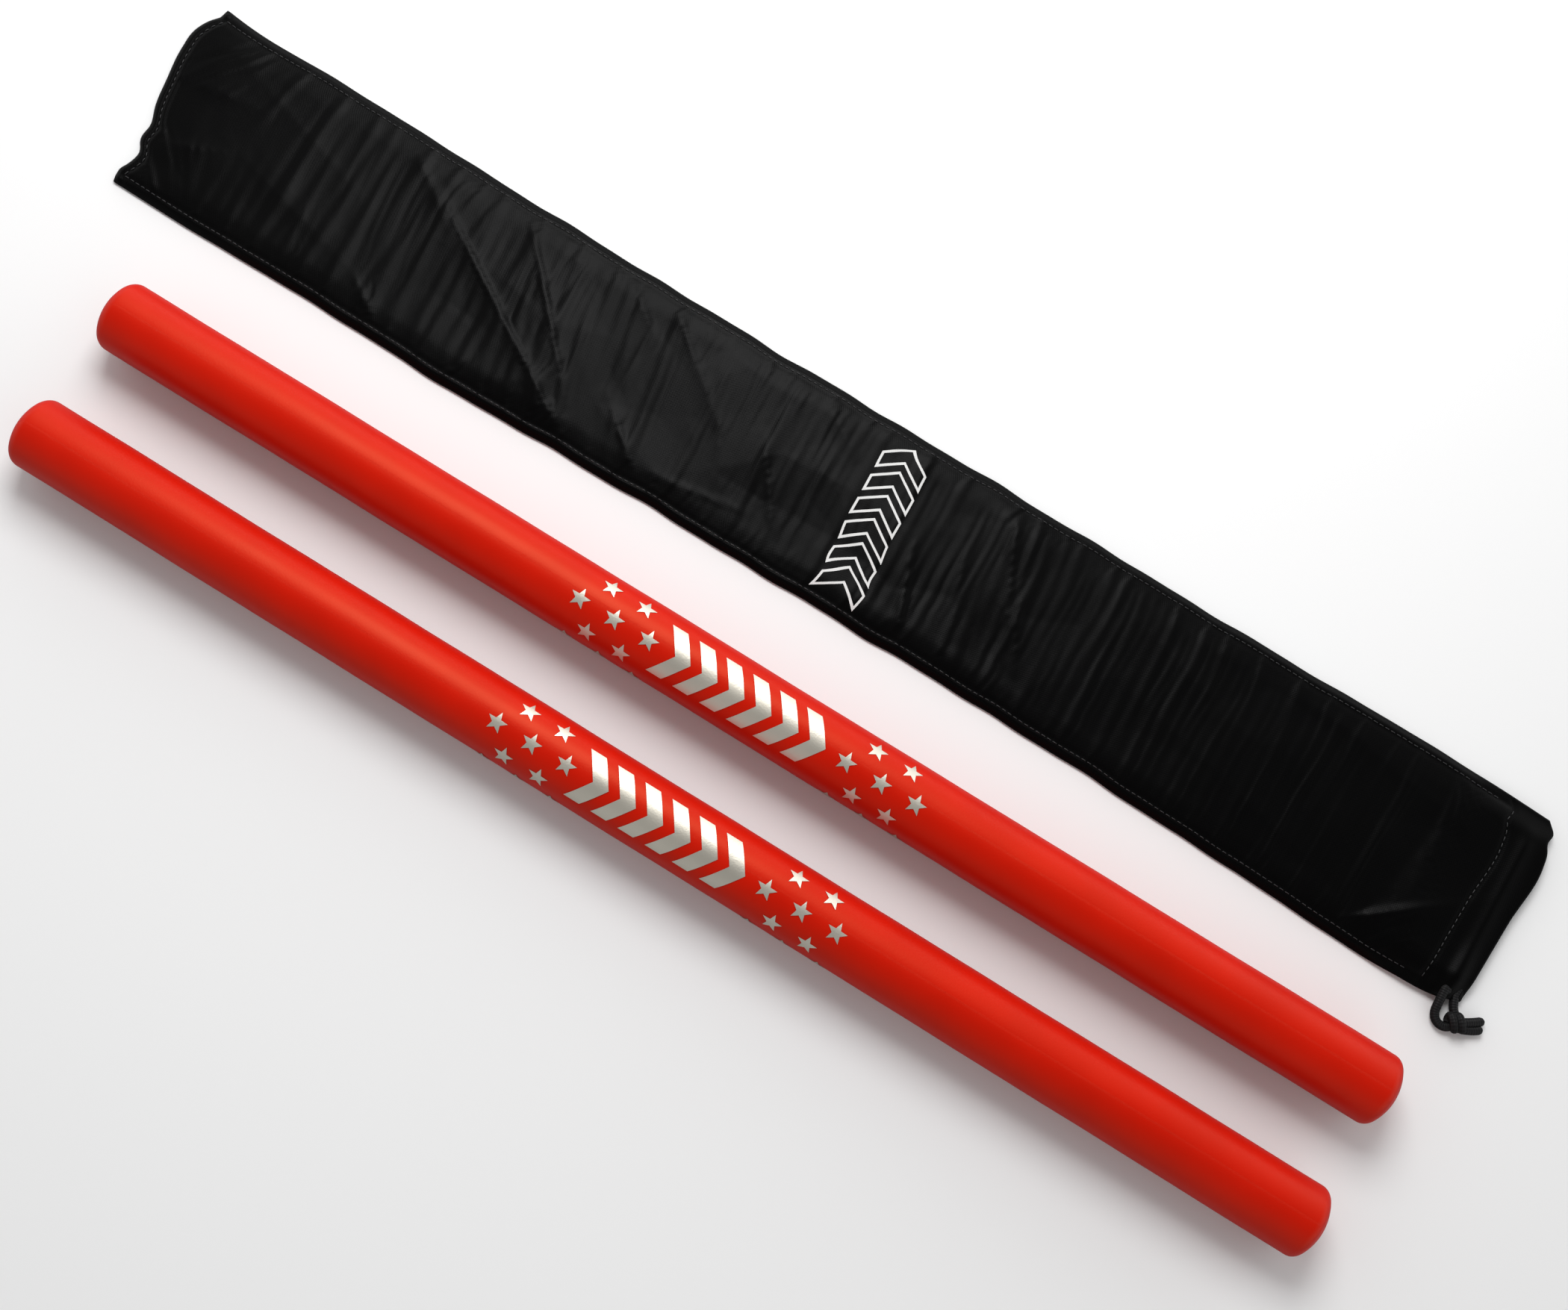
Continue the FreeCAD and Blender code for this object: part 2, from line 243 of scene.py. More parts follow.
def round_tube(path, radius, around, sideways):
    """Rings round a path. Each ring's plane is square to the path, and sideways turns its start.

    A point at angle a is the path's point plus radius times (cos a along the ring's first
    direction and sin a along its second). Both ends close with a small round cap.
    """
    path = np.asarray(path, float)
    radius = np.broadcast_to(np.asarray(radius, float), (len(path),))
    along = unit(np.gradient(path, axis=0))
    first = unit(np.cross(along, sideways))
    second = np.cross(along, first)
    angle = np.linspace(0, 2 * math.pi, around, endpoint=False)
    ring = first[:, None] * np.cos(angle)[None, :, None] + second[:, None] * np.sin(angle)[None, :, None]
    body = path[:, None] + radius[:, None, None] * ring
    lean = np.radians([0, 35, 65, 89])[:, None, None]

    def cap(k, direction):
        """Rings that close the tube at its point k."""
        swell = ring[k] * np.cos(lean) + direction * np.sin(lean)
        return path[k] + radius[k] * swell

    start, end = cap(0, -along[0])[::-1], cap(-1, along[-1])
    points = np.concatenate([start, body, end])
    length = np.concatenate([[0], np.cumsum(np.linalg.norm(np.diff(points.mean(1), axis=0), axis=1))])
    uv = np.stack(np.broadcast_arrays(length[:, None], angle[None, :] / (2 * math.pi)), axis=2)
    rows = len(points)
    return points.reshape(-1, 3), grid_faces(rows, around, wrap_columns=True)[:, ::-1], uv.reshape(-1, 2)


def joined(parts):
    """Several (points, faces, uv) parts as one."""
    shift = np.cumsum([0] + [len(p[0]) for p in parts[:-1]])
    return (
        np.concatenate([p[0] for p in parts]),
        np.concatenate([p[1] + s for p, s in zip(parts, shift)]),
        np.concatenate([p[2] for p in parts]),
    )


# ---------------------------------------------------------------- materials


def put(tree, kind, inputs=None, **settings):
    """A shader node with its settings and its inputs, each a value or another node's socket."""
    node = tree.nodes.new(kind)
    for key, value in settings.items():
        setattr(node, key, value)
    for key, value in (inputs or {}).items():
        if isinstance(value, bpy.types.NodeSocket):
            tree.links.new(value, node.inputs[key])
        else:
            node.inputs[key].default_value = value
    return node


def calc(tree, operation, *values):
    """The result of a Math node."""
    return put(tree, "ShaderNodeMath", dict(enumerate(values)), operation=operation).outputs[0]


def new_group(name, inputs, outputs):
    """An empty shader group with named float sockets, and Vector as a vector."""
    group = bpy.data.node_groups.new(name, "ShaderNodeTree")
    for label, value in inputs.items():
        kind = "NodeSocketVector" if value is None else "NodeSocketFloat"
        socket = group.interface.new_socket(label, in_out="INPUT", socket_type=kind)
        if value is not None:
            socket.default_value = value
    for label in outputs:
        group.interface.new_socket(label, in_out="OUTPUT", socket_type="NodeSocketFloat")
    return group, group.nodes.new("NodeGroupInput"), group.nodes.new("NodeGroupOutput")


def weave_group():
    """Plain weave: one sine along each thread direction, multiplied, with a little unevenness."""
    group, given, out = new_group("Plain weave", {"Vector": None, "Threads": 1600.0, "Unevenness": 0.35},
                                  ["Height", "Gaps"])
    split = put(group, "ShaderNodeSeparateXYZ", {0: given.outputs["Vector"]})
    waves = []
    for axis in ("X", "Y"):
        turns = calc(group, "MULTIPLY", split.outputs[axis], given.outputs["Threads"])
        waves.append(calc(group, "SINE", calc(group, "MULTIPLY", turns, math.pi)))
    woven = calc(group, "MULTIPLY_ADD", calc(group, "MULTIPLY", *waves), 0.5, 0.5)
    place = given.outputs["Vector"]
    slubs = put(group, "ShaderNodeTexNoise", {"Vector": place, "Scale": 420.0, "Detail": 4.0})
    uneven = calc(group, "MULTIPLY", slubs.outputs["Fac"], given.outputs["Unevenness"])
    height = calc(group, "ADD", woven, uneven)
    group.links.new(height, out.inputs["Height"])
    group.links.new(calc(group, "LESS_THAN", height, 0.3), out.inputs["Gaps"])
    return group


def grain_group():
    """Fine skin grain: round cells with creases between them, broken up by noise."""
    group, given, out = new_group("Fine grain", {"Vector": None, "Scale": 1500.0}, ["Height", "Mottle"])
    cells = put(group, "ShaderNodeTexVoronoi", {"Vector": given.outputs["Vector"],
                                                "Scale": given.outputs["Scale"]}, feature="SMOOTH_F1")
    half = calc(group, "MULTIPLY", given.outputs["Scale"], 0.5)
    place = given.outputs["Vector"]
    noise = put(group, "ShaderNodeTexNoise", {"Vector": place, "Scale": half, "Detail": 5.0})
    broad = calc(group, "MULTIPLY", given.outputs["Scale"], 0.02)
    mottle = put(group, "ShaderNodeTexNoise", {"Vector": place, "Scale": broad, "Detail": 6.0})
    both = calc(group, "ADD", cells.outputs["Distance"], noise.outputs["Fac"])
    group.links.new(both, out.inputs["Height"])
    group.links.new(mottle.outputs["Fac"], out.inputs["Mottle"])
    return group


def dust_group():
    """Sparse specks and faint rubbed patches, as a mask."""
    group, given, out = new_group("Lint and rubbing", {"Vector": None, "Specks": 900.0}, ["Lint", "Rubbed"])
    specks = put(group, "ShaderNodeTexNoise", {"Vector": given.outputs["Vector"],
                                               "Scale": given.outputs["Specks"], "Detail": 2.0})
    lint = put(group, "ShaderNodeMapRange", {0: specks.outputs["Fac"], 1: 0.70, 2: 0.80})
    place = given.outputs["Vector"]
    patches = put(group, "ShaderNodeTexNoise", {"Vector": place, "Scale": 22.0, "Detail": 5.0})
    rubbed = put(group, "ShaderNodeMapRange", {0: patches.outputs["Fac"], 1: 0.45, 2: 0.75})
    group.links.new(lint.outputs[0], out.inputs["Lint"])
    group.links.new(rubbed.outputs[0], out.inputs["Rubbed"])
    return group


def shared(name):
    """A shader group by name, made the first time that it is asked for."""
    makers = {"Plain weave": weave_group, "Fine grain": grain_group, "Lint and rubbing": dust_group}
    return bpy.data.node_groups.get(name) or makers[name]()


def new_material(name, **values):
    """A material whose Principled shader has these constant values."""
    material = bpy.data.materials.new(name)
    material.use_nodes = True
    shader = material.node_tree.nodes["Principled BSDF"]
    for key, value in values.items():
        shader.inputs[key.replace("_", " ")].default_value = value
    return material, material.node_tree, shader


def colours(tree, factor, low, high):
    """A colour between two, by a mask."""
    mix = put(tree, "ShaderNodeMix", {"Factor": factor}, data_type="RGBA")
    mix.inputs[6].default_value, mix.inputs[7].default_value = (*low, 1), (*high, 1)
    return mix.outputs[2]


def between(tree, factor, low, high):
    """A number between two, by a mask."""
    return put(tree, "ShaderNodeMapRange", {0: factor, 3: low, 4: high}).outputs[0]


def bumped(tree, shader, height, distance):
    """Give a shader a relief of this height mask, its full height being distance."""
    bump = put(tree, "ShaderNodeBump", {"Height": height, "Distance": distance, "Strength": 1.0})
    tree.links.new(bump.outputs[0], shader.inputs["Normal"])


def shade(colour, factor):
    """A colour made darker or lighter."""
    return tuple(c * factor for c in colour)


def skin_material(colour):
    """Soft red coated skin: fine grain, faint mottling and slightly rubbed patches."""
    warm = (1.0, 0.46, 0.22, 1.0)
    material, tree, shader = new_material("Red skin", Specular_IOR_Level=0.40, Specular_Tint=warm)
    place = put(tree, "ShaderNodeUVMap", uv_map="cloth").outputs[0]
    grain = put(tree, "ShaderNodeGroup", {"Vector": place, "Scale": 1400.0}, node_tree=shared("Fine grain"))
    rub = put(tree, "ShaderNodeGroup", {"Vector": place}, node_tree=shared("Lint and rubbing"))
    base = colours(tree, grain.outputs["Mottle"], shade(colour, 0.86), shade(colour, 1.12))
    tree.links.new(base, shader.inputs["Base Color"])
    tree.links.new(between(tree, rub.outputs["Rubbed"], 0.42, 0.37), shader.inputs["Roughness"])
    bumped(tree, shader, grain.outputs["Height"], 0.00002)
    return material


def foil_material(colour):
    """Champagne silver foil pressed onto the grain of the skin."""
    material, tree, shader = new_material("Silver foil", Metallic=0.82)
    place = put(tree, "ShaderNodeTexCoord").outputs["Object"]
    grain = put(tree, "ShaderNodeGroup", {"Vector": place, "Scale": 1500.0}, node_tree=shared("Fine grain"))
    base = colours(tree, grain.outputs["Mottle"], shade(colour, 0.9), shade(colour, 1.08))
    tree.links.new(base, shader.inputs["Base Color"])
    tree.links.new(between(tree, grain.outputs["Mottle"], 0.40, 0.52), shader.inputs["Roughness"])
    bumped(tree, shader, grain.outputs["Height"], 0.00003)
    return material


def satin_material(colour):
    """Black polyester satin: fine weave, soft sheen, a little lint."""
    material, tree, shader = new_material("Black satin", Specular_IOR_Level=0.06)
    place = put(tree, "ShaderNodeUVMap", uv_map="cloth").outputs[0]
    threads = {"Vector": place, "Threads": 1900.0}
    weave = put(tree, "ShaderNodeGroup", threads, node_tree=shared("Plain weave"))
    dust = put(tree, "ShaderNodeGroup", {"Vector": place}, node_tree=shared("Lint and rubbing"))
    grey = colours(tree, dust.outputs["Lint"], colour, shade(colour, 3.2))
    tree.links.new(grey, shader.inputs["Base Color"])
    tree.links.new(between(tree, dust.outputs["Rubbed"], 0.33, 0.40), shader.inputs["Roughness"])
    bumped(tree, shader, weave.outputs["Height"], 0.00003)
    return material


def ink_material(colour):
    """White print that the weave shows through, with pinholes where the ink missed."""
    material, tree, shader = new_material("White print")
    place = put(tree, "ShaderNodeTexCoord").outputs["Object"]
    weave = put(tree, "ShaderNodeGroup", {"Vector": place, "Threads": 1500.0, "Unevenness": 0.8},
                node_tree=shared("Plain weave"))
    specks = {"Vector": place, "Specks": 1400.0}
    dust = put(tree, "ShaderNodeGroup", specks, node_tree=shared("Lint and rubbing"))
    base = colours(tree, dust.outputs["Lint"], colour, shade(colour, 0.25))
    tree.links.new(base, shader.inputs["Base Color"])
    tree.links.new(between(tree, dust.outputs["Rubbed"], 0.6, 0.75), shader.inputs["Roughness"])
    bumped(tree, shader, weave.outputs["Height"], 0.00006)
    return material


def cord_material(colour):
    """Braided cord: two families of strands that cross on a slant, with painted shade in the grooves between
    them and lighter crests.
    """
    material, tree, shader = new_material("Braided cord", Specular_IOR_Level=0.2)
    place = put(tree, "ShaderNodeUVMap", uv_map="cloth").outputs[0]
    split = put(tree, "ShaderNodeSeparateXYZ", {0: place})
    strands_along, strands_round = 900.0, 6.0
    along = calc(tree, "MULTIPLY", split.outputs["X"], strands_along)
    turn = calc(tree, "MULTIPLY", split.outputs["Y"], strands_round)
    waves = [
        calc(tree, "SINE", calc(tree, "MULTIPLY", calc(tree, way, along, turn), math.pi))
        for way in ("ADD", "SUBTRACT")
    ]
    braid = calc(tree, "MULTIPLY_ADD", calc(tree, "MULTIPLY", *waves), 0.5, 0.5)
    # painted shade: the colour follows the braid's height, darker in the grooves between strands and lighter on
    # their crests
    base = colours(tree, braid, shade(colour, 0.6), shade(colour, 2.0))
    tree.links.new(base, shader.inputs["Base Color"])
    tree.links.new(between(tree, braid, 0.75, 0.55), shader.inputs["Roughness"])
    bumped(tree, shader, braid, 0.00025)
    return material


def plain_material(name, colour, roughness, grain_scale, relief, **values):
    """A moulded or foamed part: grain for its surface and a slight mottle in its colour."""
    material, tree, shader = new_material(name, **values)
    place = put(tree, "ShaderNodeTexCoord").outputs["Object"]
    size = {"Vector": place, "Scale": grain_scale}
    grain = put(tree, "ShaderNodeGroup", size, node_tree=shared("Fine grain"))
    base = colours(tree, grain.outputs["Mottle"], shade(colour, 0.82), shade(colour, 1.15))
    tree.links.new(base, shader.inputs["Base Color"])
    tree.links.new(between(tree, grain.outputs["Mottle"], roughness - 0.08, roughness + 0.08),
                   shader.inputs["Roughness"])
    bumped(tree, shader, grain.outputs["Height"], relief)
    return material


# ---------------------------------------------------------------- sticks


def stick_axis(name):
    """Ends of a stick along X, the middle of its round section, and its radius."""
    low, high = node_box(name + "_cover")
    left, right = node_box(name + "_end_cap_left")[0][0], node_box(name + "_end_cap_right")[1][0]
    return left, right, (low + high) / 2, (high[2] - low[2]) / 2


def dome_profile(radius, depth, corner, steps):
    """Distance from the tip and from the axis, along a domed end.

    The crown is an arc centred on the axis, and the corner a smaller arc tangent to it and
    to the straight side, so the crown's radius follows from the depth, radius and corner.
    """
    across = radius - corner
    crown = (depth**2 + across**2 - corner**2) / (2 * (depth - corner))
    lean = math.atan2(across, crown - depth)
    a = np.linspace(0.0, lean, steps)
    b = np.linspace(lean, math.pi / 2, steps)[1:]
    x = np.concatenate([crown * (1 - np.cos(a)), depth - corner * np.cos(b)])
    r = np.concatenate([crown * np.sin(a), across + corner * np.sin(b)])
    return x, r


def stick_skin(name, settings, material):
    """The skin: the domed profile turned about the stick's axis, with a faint padded wave."""
    left, right, middle, radius = stick_axis(name)
    x, r = dome_profile(radius, settings.dome_depth, settings.dome_corner, 12)
    x, r = x[1:], r[1:]
    straight = np.linspace(left + x[-1], right - x[-1], 220)[1:-1]
    along = np.concatenate([left + x, straight, (right - x)[::-1]])
    reach = np.concatenate([r, np.full(len(straight), radius), r[::-1]])
    angle = np.linspace(0, 2 * math.pi, 96, endpoint=False)
    far = along[:, None] - left
    seed = 1.7 if name == STICKS[0] else 4.1
    wave = (
        np.sin(far * 61 + 2 * np.cos(angle + seed))
        + 0.6 * np.sin(far * 143 + seed + 3 * np.sin(angle))
        + 0.5 * np.sin(3 * angle + far * 37 + seed)
    )
    dent = settings.padding_wave * (wave - 2.1) * ramp(reach / radius, 0.5, 1.0)[:, None]
    size = reach[:, None] + dent * 0.5
    points = np.stack(
        np.broadcast_arrays(
            along[:, None],
            middle[1] - size * np.sin(angle),
            middle[2] + size * np.cos(angle),
        ),
        axis=2,
    )
    uv = np.stack(np.broadcast_arrays(along[:, None], radius * angle[None, :]), axis=2).reshape(-1, 2)
    count, around = points.shape[:2]
    points = points.reshape(-1, 3)
    tips = np.array([[left, middle[1], middle[2]], [right, middle[1], middle[2]]])
    first, last = len(points), len(points) + 1
    ring = np.arange(around)
    after = (ring + 1) % around
    end = (count - 1) * around
    faces = [
        grid_faces(count, around, wrap_columns=True)[:, ::-1],
        np.stack([after, ring, np.full(around, first)], axis=1),
        np.stack([end + ring, end + after, np.full(around, last)], axis=1),
    ]
    uv = np.concatenate([uv, [[left, 0], [right, 0]]])
    return add_piece(name + "_skin", np.concatenate([points, tips]), faces, material, uv)


def wrapped(x, arc, middle, radius):
    """Points on a stick's round surface, from the place along it and the distance round it.

    Distance round is measured from the line that leans a little to the front, upwards positive.
    """
    lean = math.radians(8.0)
    angle = arc / radius - lean
    return np.stack([x, middle[1] + radius * np.sin(angle), middle[2] + radius * np.cos(angle)], axis=-1)


def star_patch(x, arc, size, rings=6, turns=40):
    """A five-pointed star as a flat patch: its edge is where straight lines join tips and notches.

    Between a tip at angle 0 and radius 1 and a notch at angle 36 degrees and radius n, the
    edge has radius n sin 36 / (sin a + n sin(36 - a)) at angle a.
    """
    notch = 0.42
    angle = np.linspace(0, 2 * math.pi, turns, endpoint=False)
    tenth = math.pi / 5
    part = np.abs((angle + tenth) % (2 * tenth) - tenth)
    edge = notch * math.sin(tenth) / (np.sin(part) + notch * np.sin(tenth - part))
    share = np.linspace(0, 1, rings)[1:, None]
    across = x + size * share * edge * np.sin(angle)
    up = arc + size * share * edge * np.cos(angle)
    flat = np.stack([across, up], axis=2).reshape(-1, 2)
    faces = grid_faces(rings - 1, turns, wrap_columns=True)
    inner = np.arange(turns)
    hub = len(flat)
    fan = np.stack([np.full(turns, hub), inner, (inner + 1) % turns], axis=1)
    return np.concatenate([flat, [[x, arc]]]), faces, fan


def chevron_patch(x, width, height, arm, steps=24):
    """A chevron that points along the stick: a band whose middle leads by arm, from end to end."""
    across = np.linspace(0, 1, 10)[:, None]
    up = np.linspace(-1, 1, 2 * steps + 1)[None, :]
    place = x + width * across + arm * (1 - np.abs(up))
    flat = np.stack(np.broadcast_arrays(place, height / 2 * up), axis=2).reshape(-1, 2)
    return flat, grid_faces(10, 2 * steps + 1)[:, ::-1]


def foil_print(name, settings, material):
    """Two groups of stars and a row of chevrons, laid on the skin with a small lift."""
    left, right, middle, radius = stick_axis(name)
    centre = (left + right) / 2
    lifted = radius + settings.foil_lift
    points, faces, triangles, count = [], [], [], 0
    row_shift = 0.5 * MM
    for group in (centre - 62 * MM, centre + 72.5 * MM):
        for row in (-2, -1, 0, 1):
            shift = row_shift if row % 2 else 0.0
            places = (-0.5, 0.5) if row % 2 else (-1, 0, 1)
            for k in places:
                flat, quads, fan = star_patch(
                    group + shift + k * settings.star_spacing,
                    row * settings.row_spacing,
                    settings.star_radius,
                )
                points.append(flat)
                faces.append(quads + count)
                triangles.append(fan + count)
                count += len(flat)
    pitch, width, arm = 13.6 * MM, 7.8 * MM, 8.5 * MM
    start = centre + 2.6 * MM - (pitch * (settings.chevron_count - 1) + width + arm) / 2
    for k in range(settings.chevron_count):
        flat, quads = chevron_patch(start + k * pitch, width, settings.chevron_height, arm)
        points.append(flat)
        faces.append(quads + count)
        count += len(flat)
    flat = np.concatenate(points)
    around = wrapped(flat[:, 0], flat[:, 1], middle, lifted)
    return add_piece(name + "_foil_print", around, faces + triangles, material)


class MakeSticks(bpy.types.Operator):
    """Make both sticks' skins and give the parts inside them their finishes."""

    bl_idname = "focus_sticks.sticks"
    bl_label = "Sticks"

    def execute(self, context):
        settings = context.scene.stick_settings
        skin = skin_material(settings.skin_colour)
        finishes = {
            "core_tube": plain_material("Core tube", (0.62, 0.62, 0.60), 0.42, 300.0, 0.00002),
            "core_plug": plain_material("Core plug", (0.03, 0.03, 0.03), 0.5, 500.0, 0.00003),
            "foam_sleeve": plain_material("Sleeve foam", (0.09, 0.09, 0.10), 0.85, 900.0, 0.0002),
            "end_pad": plain_material("End foam", (0.16, 0.16, 0.17), 0.85, 900.0, 0.0002),
        }
        for name in STICKS:
            piece = stick_skin(name, settings, skin)
            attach(piece, name)
            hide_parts(name + "_cover", name + "_end_cap_left", name + "_end_cap_right")
        for node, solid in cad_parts.items():
            for part, finish in finishes.items():
                if node.startswith(STICKS) and part in node:
                    solid.data.materials.clear()
                    solid.data.materials.append(finish)
        return {"FINISHED"}


class MakeFoil(bpy.types.Operator):
    """Lay the silver foil stars and chevrons on both sticks."""

    bl_idname = "focus_sticks.foil"
    bl_label = "Foil prints"

    def execute(self, context):
        settings = context.scene.stick_settings
        foil = foil_material(settings.foil_colour)
        for name in STICKS:
            piece = foil_print(name, settings, foil)
            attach(piece, name)
        return {"FINISHED"}


# ---------------------------------------------------------------- bag


def bag_corners():
    """The flat bag's lowest and highest corner, and where its casings start."""
    low, _ = node_box("bag_back_panel")
    casing_low, high = node_box("bag_back_casing")
    return low, high, casing_low[0]


def bag_outline(s, t):
    """Plan of the bag: s runs from the closed end to the mouth and t from the near to the far side.

    Each of the four edges is a smooth curve, and the inside is blended from them: the sum of
    the two ways of going straight across, less the part that both count.
    """
    low, high, _ = bag_corners()
    # share across, and how far the closed end stands in (+) or out (-) there
    closed = ((0, 7), (0.06, 5.8), (0.12, 8), (0.19, 8.6), (0.24, 5.6), (0.33, 5.2), (0.42, 1.6), (0.55, -1.4),
              (0.72, -4.6), (0.84, -4.6), (0.90, -2.2), (0.96, 1.6), (1, 2.4))
    mouth = ((0, -0.4), (0.13, 0.2), (0.45, 1.6), (0.77, 3.6), (0.845, 2.2), (0.88, 0.6), (0.95, 1.2), (1, -2.6))
    # share along, and how far the side stands out (-) or in (+) there
    near = ((0, -0.8), (0.05, -1.2), (0.15, -0.6), (0.26, -1.8), (0.35, -0.2), (0.5, 0.4), (0.7, 0.2),
            (0.87, -3.2), (0.955, -4.9), (0.985, -3.4), (1, -0.2))
    far = ((0, 3.8), (0.015, 2.6), (0.09, 2.4), (0.24, 0.6), (0.4, -0.2), (0.6, 0.2), (0.8, -0.2), (0.93, 0.4),
           (1, -1.4))

    def edge(points, at):
        return smooth_through(*zip(*points), at) * MM

    ripple = 0.3 * MM * (np.sin(s * 97) + 0.7 * np.sin(s * 61 + 1.3) + 0.5 * np.sin(s * 173 + 0.4))
    left = low[0] + edge(closed, t)
    right = high[0] + edge(mouth, t)
    bottom = low[1] + edge(near, s) + ripple * np.sin(math.pi * s)
    top = high[1] + edge(far, s) + ripple[::-1] * np.sin(math.pi * s)
    return left + s * (right - left), bottom + t * (top - bottom)


def fold(x, y, ends, widths, height, steep):
    """A crest along a line between two points, highest in the middle and gone at both ends.

    Square to the line the height falls off by an exponential of the distance, rounded at the
    crest. Its reach widens from one end to the other, and on the far side it is shorter by
    the factor steep, as where cloth leans over.
    """
    (x0, y0), (x1, y1) = ends
    length = math.hypot(x1 - x0, y1 - y0)
    share = np.clip(((x - x0) * (x1 - x0) + (y - y0) * (y1 - y0)) / length**2, 0, 1)
    across = ((y - y0) * (x1 - x0) - (x - x0) * (y1 - y0)) / length
    reach = (widths[0] + (widths[1] - widths[0]) * share) * np.where(across > 0, steep, 1.0)
    rounding = 0.6 * MM
    away = np.sqrt(across**2 + rounding**2) - rounding
    return height * np.exp(-away / reach) * np.sin(math.pi * share) ** 0.8


def facets(x, y, cell, turn, seed):
    """Flat triangles that meet in crisp creases, with random corner heights between -1 and 1.

    A slanted lattice is bent by slow waves. Each of its cells is two triangles, and the height
    is straight over each of them: it is that of one corner plus the shares to the other two.
    """
    u = (x * math.cos(turn) + y * math.sin(turn)) / cell + 0.42 * np.sin(y * 0.9 / cell + 1.3 * seed)
    v = (y * math.cos(turn) - x * math.sin(turn)) / cell + 0.42 * np.sin(x * 0.8 / cell + 0.7 * seed)
    corner = np.random.default_rng(seed).uniform(-1, 1, (97, 97))
    i, j = np.floor(u).astype(int), np.floor(v).astype(int)
    f, g = u - i, v - j
    h00, h10 = corner[i % 97, j % 97], corner[(i + 1) % 97, j % 97]
    h01, h11 = corner[i % 97, (j + 1) % 97], corner[(i + 1) % 97, (j + 1) % 97]
    near = h00 + f * (h10 - h00) + g * (h01 - h00)
    far = h11 + (1 - f) * (h01 - h11) + (1 - g) * (h10 - h11)
    return np.where(f + g < 1, near, far)


def crumple(x, y):
    """Crumpled satin: large and small facets, strongest left of the middle and faint at both ends."""
    share = 0.30 + 0.70 * ramp(x, -0.25, -0.15) * (1 - 0.65 * ramp(x, 0.10, 0.16))
    return share * (
        1.35 * MM * facets(x, y, 26 * MM, 0.6, 5) + 0.5 * MM * facets(x, y, 12.5 * MM, -0.35, 11)
    )


# ends of each fold (x, y), its reach at both ends, its height and how short its far side is, in millimetres
FOLDS = (
    ((-228, 98), (-102, 20), (4, 11), 2.3, 0.22),
    ((-184, 110), (-117, 38), (3, 8), 2.0, 0.3),
    ((-246, 108), (-204, 78), (3, 8), 1.1, 0.5),
    ((-172, 104), (-140, 112), (2, 3), 0.8, 0.7),
    ((-162, 66), (-120, 24), (7, 3), 1.2, 2.4),
    ((-128, 108), (-98, 86), (3, 6), 1.0, 0.5),
    ((-106, 110), (-52, 66), (4, 10), 1.4, 0.35),
    ((-72, 100), (-40, 42), (7, 4), 1.4, 2.0),
    ((-38, 80), (-6, 36), (5, 4), 1.1, 0.5),
    ((-72, 33), (-20, 42), (1.4, 1.8), 0.6, 0.8),
    ((-110, 58), (-74, 28), (5, 3), 1.1, 0.45),
    ((-20, 106), (8, 88), (4, 6), 0.8, 0.6),
    ((46, 76), (64, 28), (5, 4), 1.5, 0.4),
    ((64, 94), (86, 38), (7, 4), 1.6, 2.2),
    ((80, 110), (104, 58), (5, 5), 1.2, 0.4),
    ((98, 82), (118, 40), (4, 4), 1.1, 0.7),
    ((122, 102), (226, 72), (9, 12), 0.8, 0.6),
    ((146, 68), (272, 40), (10, 9), 0.8, 1.4),
    ((220, 106), (338, 88), (9, 8), 0.7, 0.7),
    ((290, 20), (351, 68), (4, 8), 2.0, 0.35),
    ((322, 34), (356, 28), (6, 4), 1.2, 1.4),
    ((-340, 102), (-240, 70), (8, 13), 0.8, 0.7),
    ((-328, 66), (-222, 38), (8, 10), 0.8, 1.3),
    ((-236, 42), (-212, 25), (2.5, 3.5), 1.0, 0.6),
    ((-352, 44), (-312, 60), (3, 7), 1.0, 0.7),
    ((-358, 78), (-308, 86), (3, 8), 1.0, 1.4),
    ((-352, 32), (-322, 24), (3, 4), 0.9, 0.8),
)


def bag_height(x, y, s, t, settings):
    """Height of the front panel's middle surface before it is let go.

    It climbs from the sewn edges to a flat slack middle, comes down to the closed end, levels
    out at the hem, and carries the folds and facets.
    """
    low, high, casing_x = bag_corners()
    side = np.minimum(t, 1 - t) * (high[1] - low[1])
    end = s * (high[0] - low[0])
    climb = ramp(side, 0.0, 15 * MM) * ramp(end, 0.0, 26 * MM)
    lip = ramp(side, 0.0, 2.2 * MM) * ramp(end, 0.0, 2.2 * MM)
    at_hem = ramp(x, casing_x - 30 * MM, casing_x)
    height = 0.9 * MM + 1.5 * MM * lip + (settings.slack - 2.4 * MM) * climb
    mouth_height = 2.6 * MM + 2.8 * MM * ramp(side, 0, 12 * MM)
    dip = 0.8 * MM * cord_ridge(x, y, cord_lines(0.0)["front_x"], 1.0) * ramp(t, 0.12, 0.35)
    height = height + at_hem * (mouth_height - dip - height)
    free = climb * (1 - 0.8 * at_hem)
    for start, stop, widths, rise, steep in FOLDS:
        ends = np.array([start, stop]) * MM
        height = height + fold(x, y, ends, np.array(widths) * MM, rise * MM, steep) * free
    height = height + crumple(x, y) * free
    return height


